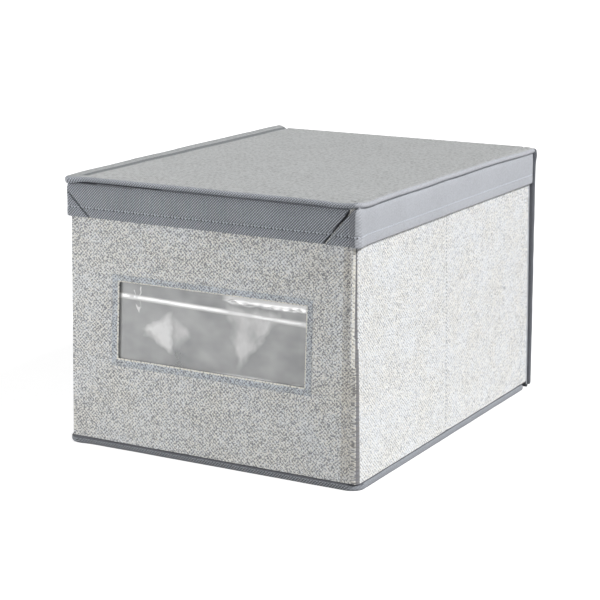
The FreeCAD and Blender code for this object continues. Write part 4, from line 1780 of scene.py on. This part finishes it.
# Painted shadow along the tape's top groove.
for face in bottom_seam.data.polygons:
    rows = [i % len(seam_profile) for i in face.vertices]
    on_side = face.center.y > (SEAM_Y + SEAM_CORNER_R) * MM
    if len(rows) == 4 and min(rows) >= SEAM_GROOVE_ROW + on_side:
        face.material_index = 2
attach(bottom_seam, "shell")
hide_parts("bottom_tape_front", "bottom_tape_left", "bottom_tape_right")
print("bottom tape", round(seam_route[-1].run), "mm round three sides")

# %% [markdown]
# Along the back the seam is straight, so the section is carried across in a plain grid and closed
# at both ends.
# %% Bind the rear seam
def rear_seam_place(x, row):
    """The same section, shallower, along the back."""
    inset, z = seam_profile[row]
    return x * (1 + flare(z) / BODY_X), BACK_Y + 0.6 - min(inset, 5.8) * 0.62, z * 0.98, x, row * 2.0


rear_seam = make_grid(
    "rear_seam_tape", stops_between(-BODY_X, BODY_X, 3.0), list(range(len(seam_profile))), rear_seam_place,
    TAPE, closed=True, caps=True,
)
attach(rear_seam, "shell")
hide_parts("rear_bottom_tape")
print("rear tape", round(2 * BODY_X), "mm")

# %% [markdown]
# At the back corners the folded tape stands upright behind the side walls. It could be a plain
# bar, but it is sewn by hand: it sways, it is wider at the top and it is knotted under the lid.
# %% Round the upright tape's section
TAPE_Z0, TAPE_Z1 = span("rear_tape_right", Z)
TAPE_HALF_LOW, TAPE_HALF_TOP = 2.1, 3.2
TAPE_MID_Y = (INNER_BACK + BACK_Y) / 2


def round_box(turn, half_a, half_b, power=3.2):
    """A place on a soft-cornered box, seen from above."""
    c, s = math.cos(turn), math.sin(turn)
    reach = (abs(c) ** power + abs(s) ** power) ** (-1 / power)
    return half_a * c * reach, half_b * s * reach


def end_round(z, z0, z1, radius):
    """Scale of a section: 1 along the tape, shrinking to a round end."""
    near = min(z - z0, z1 - z, radius)
    return max(0.25, math.sqrt(max(0.0, 1 - (1 - near / radius) ** 2)))


print("upright tapes from", round(TAPE_Z0, 1), "to", round(TAPE_Z1, 1), "mm")

# %% [markdown]
# The section is carried up in levels that lie closer together at both rounded ends.
# %% Bind the upright seams
def upright_tape(name, side, node):
    """The folded tape over one upright seam, slightly knotted at the lid."""
    turns = [math.tau * i / 20 * side for i in range(20)]

    def place(z, turn):
        half = TAPE_HALF_LOW + (TAPE_HALF_TOP - TAPE_HALF_LOW) * z / TAPE_Z1
        dx, dy = round_box(turn, half, WALL_T / 2 + 0.1)
        scale = end_round(z, TAPE_Z0, TAPE_Z1, 2.5)
        knot = 1 + 0.22 * bell(z - 240, 4.5) + 0.08 * smooth_noise(z / 14, side * 5.0, 2.0)
        sway = 0.45 * smooth_noise(z / 45, side * 3.0, 7.0)
        x = side * (BODY_X - 0.3 + half + sway + flare(z)) + dx * scale * knot
        return x, TAPE_MID_Y + dy * scale * knot, z, z, abs(turn) * 2.5

    z_levels = stops_between(TAPE_Z0, TAPE_Z0 + 3, 0.6) + stops_between(TAPE_Z0 + 3, TAPE_Z1 - 3, 2.5)[1:]
    z_levels += stops_between(TAPE_Z1 - 3, TAPE_Z1, 0.6)[1:]
    tape = make_grid(name, z_levels, turns, place, UPRIGHT_TAPE, closed=True, caps=True)
    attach(tape, "shell")
    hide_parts(node)
    return tape


upright_tape("upright_tape_right", 1, "rear_tape_right")
upright_tape("upright_tape_left", -1, "rear_tape_left")

# %% [markdown]
# A narrow strip of the right tape laps forward onto the side wall and shows as a pale line.
# %% Show the tape's leg
LEG_WIDE = 2.5


def leg_place(y, z):
    """A place on the strip, which follows the bow of the wall."""
    out = 0.55 + 0.15 * smooth_noise(y / 4, z / 20, 3.0) + flare(z)
    return BODY_X + out + 0.1, y, z, z, y


leg_start = INNER_BACK + 0.5
# The strip is in the skirt's copy with painted sunlight.
leg = make_grid(
    "upright_tape_leg", stops_between(leg_start, leg_start - LEG_WIDE, 0.6),
    stops_between(SEAM_H - 3.0, EDGE_UNDER - 0.3, 3.0), leg_place, SKIRT_SUNLIT_SIDE, 0.6,
)
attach(leg, "shell")
print("leg", LEG_WIDE, "mm wide")

# %% [markdown]
# ## Bottom
# The bottom is a cloth sewn into the seam, with a loose stiff insert on it. The cloth is a flat
# grid that turns up at its edges, where the seam holds it.
# %% Lay the bottom cloth
def bottom_place(x, y):
    """A place on the bottom cloth: almost on the floor, and raised at its edges."""
    at_edge = abs(x) > INNER_X - 0.1 or y < INNER_FRONT + 0.1
    rise = SEAM_H + 1.0 if y > INNER_BACK - 0.1 else WALL_Z0 - 0.8 if at_edge else 0.0
    return x, y, 0.1 + rise + 0.25 * (1 + smooth_noise(x / 40, y / 40, 60.0)), x, y


BOTTOM_TURN = 0.5
bottom_columns = stops_between(-INNER_X, INNER_X, 6.0, (BOTTOM_TURN - INNER_X, INNER_X - BOTTOM_TURN))
bottom_rows = stops_between(
    INNER_FRONT, INNER_BACK, 6.0, (INNER_FRONT + BOTTOM_TURN, INNER_BACK - BOTTOM_TURN)
)
bottom = make_grid(
    "bottom_cloth_sheet", bottom_columns, bottom_rows, bottom_place, LINING_CLOTH, LINING_T,
)
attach(bottom, "shell")
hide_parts("bottom_cloth")
SEAM_ALLOWANCE = 14
bottom_wide, bottom_long = 2 * INNER_X + SEAM_ALLOWANCE, INNER_BACK - INNER_FRONT + SEAM_ALLOWANCE
bottom_wide * MM
bottom_long * MM
print("bottom cloth cut", round(bottom_wide), "x", round(bottom_long), "mm")

# %% [markdown]
# The insert's cover is wrapped round its board like a sleeve. A ring swept round the board would
# cross itself in the corners, so a closed section is carried from the front to the back instead,
# and drawn in at both ends.
# %% Cover the insert
COVER_X = span("insert_cover", X)[1]
COVER_Y0, COVER_Y1 = span("insert_cover", Y)
COVER_Z0, COVER_Z1 = span("insert_cover", Z)
COVER_BEND = 1.0
cover_across = stops_between(-COVER_X + COVER_BEND, COVER_X - COVER_BEND, 12.0)
cover_section = [(x, COVER_Z1) for x in cover_across]
cover_section += [(COVER_X - 0.1, COVER_Z1 - COVER_BEND), (COVER_X - 0.1, COVER_Z0 + COVER_BEND)]
cover_section += [(x, COVER_Z0 + 0.1) for x in reversed(cover_across)]
cover_section += [(0.1 - COVER_X, COVER_Z0 + COVER_BEND), (0.1 - COVER_X, COVER_Z1 - COVER_BEND)]


def cover_place(y, row):
    """The cover's section, which swells a little on top and closes in at both ends."""
    x, z = cover_section[row]
    swell = 0.5 + 0.4 * smooth_noise(x / 60, y / 60, 71.0) if z == COVER_Z1 else 0.0
    near_end = min(1.0, (y - COVER_Y0) / COVER_BEND, (COVER_Y1 - y) / COVER_BEND)
    middle = (COVER_Z0 + COVER_Z1) / 2
    return x, y, middle + (z + swell * near_end - middle) * (0.55 + 0.45 * near_end), x + z, y


cover_stops = stops_between(COVER_Y0, COVER_Y1, 12.0, (COVER_Y0 + COVER_BEND, COVER_Y1 - COVER_BEND))
cover = make_grid(
    "insert_cover_cloth", cover_stops, list(range(len(cover_section))), cover_place, LINING_CLOTH,
    LINING_T, closed=True, caps=True,
)
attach(cover, "shell")
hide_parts("insert_cover")
print("insert", round(2 * COVER_X), "x", round(COVER_Y1 - COVER_Y0), "mm")

# %% [markdown]
# ## Stitching
# Sewn rows show everywhere on such a box. Each stitch is a short raised thread that dips into the
# cloth at both ends. One helper walks along a line and sets a stitch at every pitch.
# %% Walk along a line
STITCH_LENGTH = 3.1
STITCH_GAP = 1.0
THREAD_R = 0.24
# Each ring of a stitch: place along it from -1 to 1, height, thickness
STITCH_RINGS = [
    (-1.0, -0.9, 0.35), (-0.8, 0.15, 0.9), (-0.3, 0.75, 1.0),
    (0.3, 0.75, 1.0), (0.8, 0.15, 0.9), (1.0, -0.9, 0.35),
]
RING_SIDES = 5


def walk(line, pitch, start=0.5):
    """Places along a line of (point, normal), at an even pitch: point, direction and normal."""
    places, carried = [], pitch * start
    for (p0, n0), (p1, n1) in zip(line, line[1:]):
        length = (p1 - p0).length
        while carried < length:
            t = carried / length
            places.append((p0.lerp(p1, t), (p1 - p0).normalized(), n0.lerp(n1, t).normalized()))
            carried += pitch
        carried -= length
    return places


print("stitch", STITCH_LENGTH, "mm, gap", STITCH_GAP, "mm")

# %% [markdown]
# Each stitch is a bent tube with open ends, made of a few rings. Its ends dip below the surface,
# so they don't need caps, and a whole row is one mesh.
# %% Sew one row
def stitch_row(name, line, material, length=STITCH_LENGTH, gap=STITCH_GAP, radius=THREAD_R, start=0.5):
    """A row of raised stitches along a line."""
    points, faces, where = [], [], []
    for count, (middle, along, out) in enumerate(walk(line, length + gap, start)):
        side = along.cross(out)
        first = len(points)
        for place, height, thickness in STITCH_RINGS:
            centre = middle + along * (place * length / 2) + out * (height * radius)
            for i in range(RING_SIDES):
                turn = math.tau * i / RING_SIDES
                offset = (side * math.cos(turn) + out * math.sin(turn)) * (radius * thickness)
                points.append((centre + offset) * MM)
                where.append((count * 4.0 + place * 1.5, i * 0.5))
        for ring in range(len(STITCH_RINGS) - 1):
            for i in range(RING_SIDES):
                a = first + ring * RING_SIDES + i
                b = first + ring * RING_SIDES + (i + 1) % RING_SIDES
                faces.append((a, a + RING_SIDES, b + RING_SIDES, b))
    mesh = bpy.data.meshes.new(name)
    mesh.from_pydata(points, [], faces)
    layer = mesh.uv_layers.new(name="cloth")
    for loop in mesh.loops:
        layer.data[loop.index].uv = where[loop.vertex_index]
    mesh.polygons.foreach_set("use_smooth", [True] * len(mesh.polygons))
    mesh.materials.append(material)
    made = bpy.data.objects.new(name, mesh)
    bpy.context.scene.collection.objects.link(made)
    return made


print("thread", 2 * THREAD_R, "mm thick")

# %% [markdown]
# A row on a swept piece has to lie on its bulges too, so its line uses the same push and lift.
# %% Follow a route with a row
def route_line(route, inset, z, push=None, lift=None, upward=False):
    """The line of a row along a route, on an upright face or on top."""
    line = []
    for stop in route:
        x, y = stop.moved(-inset + (push(stop, inset, z) if push else 0.0))
        rise = lift(stop, inset, z) if lift else 0.0
        normal = Vector((0, 0, 1)) if upward else Vector((stop.out_x, stop.out_y, 0))
        line.append((Vector((x, y, z + rise)), normal))
    return line


print("rings in a stitch:", len(STITCH_RINGS))

# %% [markdown]
# The rows are placed where a needle goes: round the window through the turned edge and the film, along the
# skirt's hem, along the lid's rolled edge, through each crease, along the inside hem and along the tapes.
# %% Sew round the window
def wall_route_run(x):
    """Length along the wall route at a place across the front."""
    start = next(s for s in wall_route if s.out_y < -0.999)
    return start.run + (start.x - x)


def front_face_y(x, z):
    """Where the front cloth's surface is."""
    stop = Stop(x, FRONT_Y, 0, -1)
    stop.run = wall_route_run(x)
    return FRONT_Y - wall_push(stop, 0.0, z)


def window_row():
    """A closed line round the window, the stitch width outside its edge."""
    half, low, high = WINDOW_X + WINDOW_HEM, WINDOW_Z0 - WINDOW_HEM, WINDOW_Z1 + WINDOW_HEM
    plan = [(x, low) for x in stops_between(half, -half, 4.0)]
    plan += [(-half, z) for z in stops_between(low, high, 4.0)[1:]]
    plan += [(x, high) for x in stops_between(-half, half, 4.0)[1:]]
    plan += [(half, z) for z in stops_between(high, low, 4.0)[1:]]
    line = []
    for x, z in plan:
        shift_x, shift_z = window_pull(x, z)
        line.append((Vector((x + shift_x, front_face_y(x, z), z + shift_z)), Vector((0, -1, 0))))
    return line


window_sewing = stitch_row("window_stitches", window_row(), PALE_THREAD)
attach(window_sewing, "front")
print("window stitches:", len(walk(window_row(), STITCH_LENGTH + STITCH_GAP)))

# %% [markdown]
# On the front the light is flat, and what shows of the hem is a pale thread over a needle hole in shade. So
# a row of short dark stitches, painted shade of the holes, lies under the pale one there.
# %% Sew the skirt's hem
skirt_row = route_line(skirt_route, -0.15, SKIRT_Z0 + HEM_UP, skirt_push)
skirt_sewing = stitch_row("skirt_hem_stitches", skirt_row, SKIRT_THREAD, 2.2, 1.3, 0.5)
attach(skirt_sewing, "lid")
skirt_front = [stop for stop in skirt_route if stop.out_y < -0.9]
hole_shade_row = route_line(skirt_front, -0.2, SKIRT_Z0 + HEM_UP - 0.5, skirt_push)
needle_hole_shade_row = stitch_row("skirt_hem_needle_hole_shade", hole_shade_row, HOLE_SHADE, 1.1, 2.4, 0.6, 0.0)
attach(needle_hole_shade_row, "lid")
print("hem row", round(skirt_route[-1].run), "mm")

# %% [markdown]
# These two rows follow the roll and the tape round three sides, with all their rises and dips.
# %% Sew the lid's edge and the bottom tape
edge_sewing = stitch_row(
    "lid_edge_stitches", route_line(lid_route, EDGE_STITCH, 247.0, welt_push, welt_lift, True), THREAD
)
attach(edge_sewing, "lid")

seam_sewing = stitch_row(
    "bottom_seam_stitches", route_line(seam_route, 0.2, 4.9, seam_push, seam_lift), THREAD
)
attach(seam_sewing, "shell")
print("edge row", round(lid_route[-1].run), "mm, tape row", round(seam_route[-1].run), "mm")

# %% [markdown]
# Each side wall is sewn through at its crease, between the two boards.
# %% Sew the creases
def crease_line(route, y, side):
    """An upright line on a side wall's outer face."""
    stop = min((s for s in route if s.x * side > 0 and abs(s.out_x) > 0.9), key=lambda s: abs(s.y - y))
    line = []
    for z in stops_between(WALL_Z0 + 2, SKIRT_Z0 + 10, 4.0):
        x, made_y = stop.moved(wall_push(stop, 0.0, z))
        line.append((Vector((x, made_y, z)), Vector((side, 0, 0))))
    return line


CREASE_SEWING = [
    ("right_crease_stitches", RIGHT_CREASE, 1, "right_mid"),
    ("left_crease_stitches", LEFT_CREASE, -1, "left_mid"),
]
for name, crease_y, side, stretch_name in CREASE_SEWING:
    sewing = stitch_row(name, crease_line(wall_route, crease_y, side), THREAD, 1.5, 1.7, 0.3)
    body_a, body_b, bend_start, bend_end = next(s[3:] for s in STRETCHES if s[0] == stretch_name)
    bend_over(sewing, bend_start, bend_end)


print("crease rows:", len(CREASE_SEWING))

# %% [markdown]
# The hem's row is cut into the cloth's five stretches, one for each. The lap's row stays on the back wall,
# below the hinge.
# %% Sew the inside hem and the hinge lap
for name, first, last, body_a, body_b, bend_start, bend_end in STRETCHES:
    stretch = part_of(wall_route, first, last)
    row = [(p, -n) for p, n in route_line(stretch, WALL_T + 0.25, WALL_TOP - HEM_INSIDE + 2.5)]
    sewing = stitch_row(f"hem_stitches_{name}", row, PALE_THREAD)
    bend_over(sewing, bend_start, bend_end)

lap_z = TOP - HINGE_LAP + 3
lap_row = []
for x in stops_between(-LID_HALF + 2, LID_HALF - 2, 4.0):
    lap_y = LAP_Y + 0.3 * smooth_noise(x / 30, lap_z / 12, 11.0)
    lap_row.append((Vector((x, lap_y, lap_z)), Vector((0, 1, 0))))
lap_sewing = stitch_row("hinge_lap_stitches", lap_row, THREAD)
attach(lap_sewing, "shell")
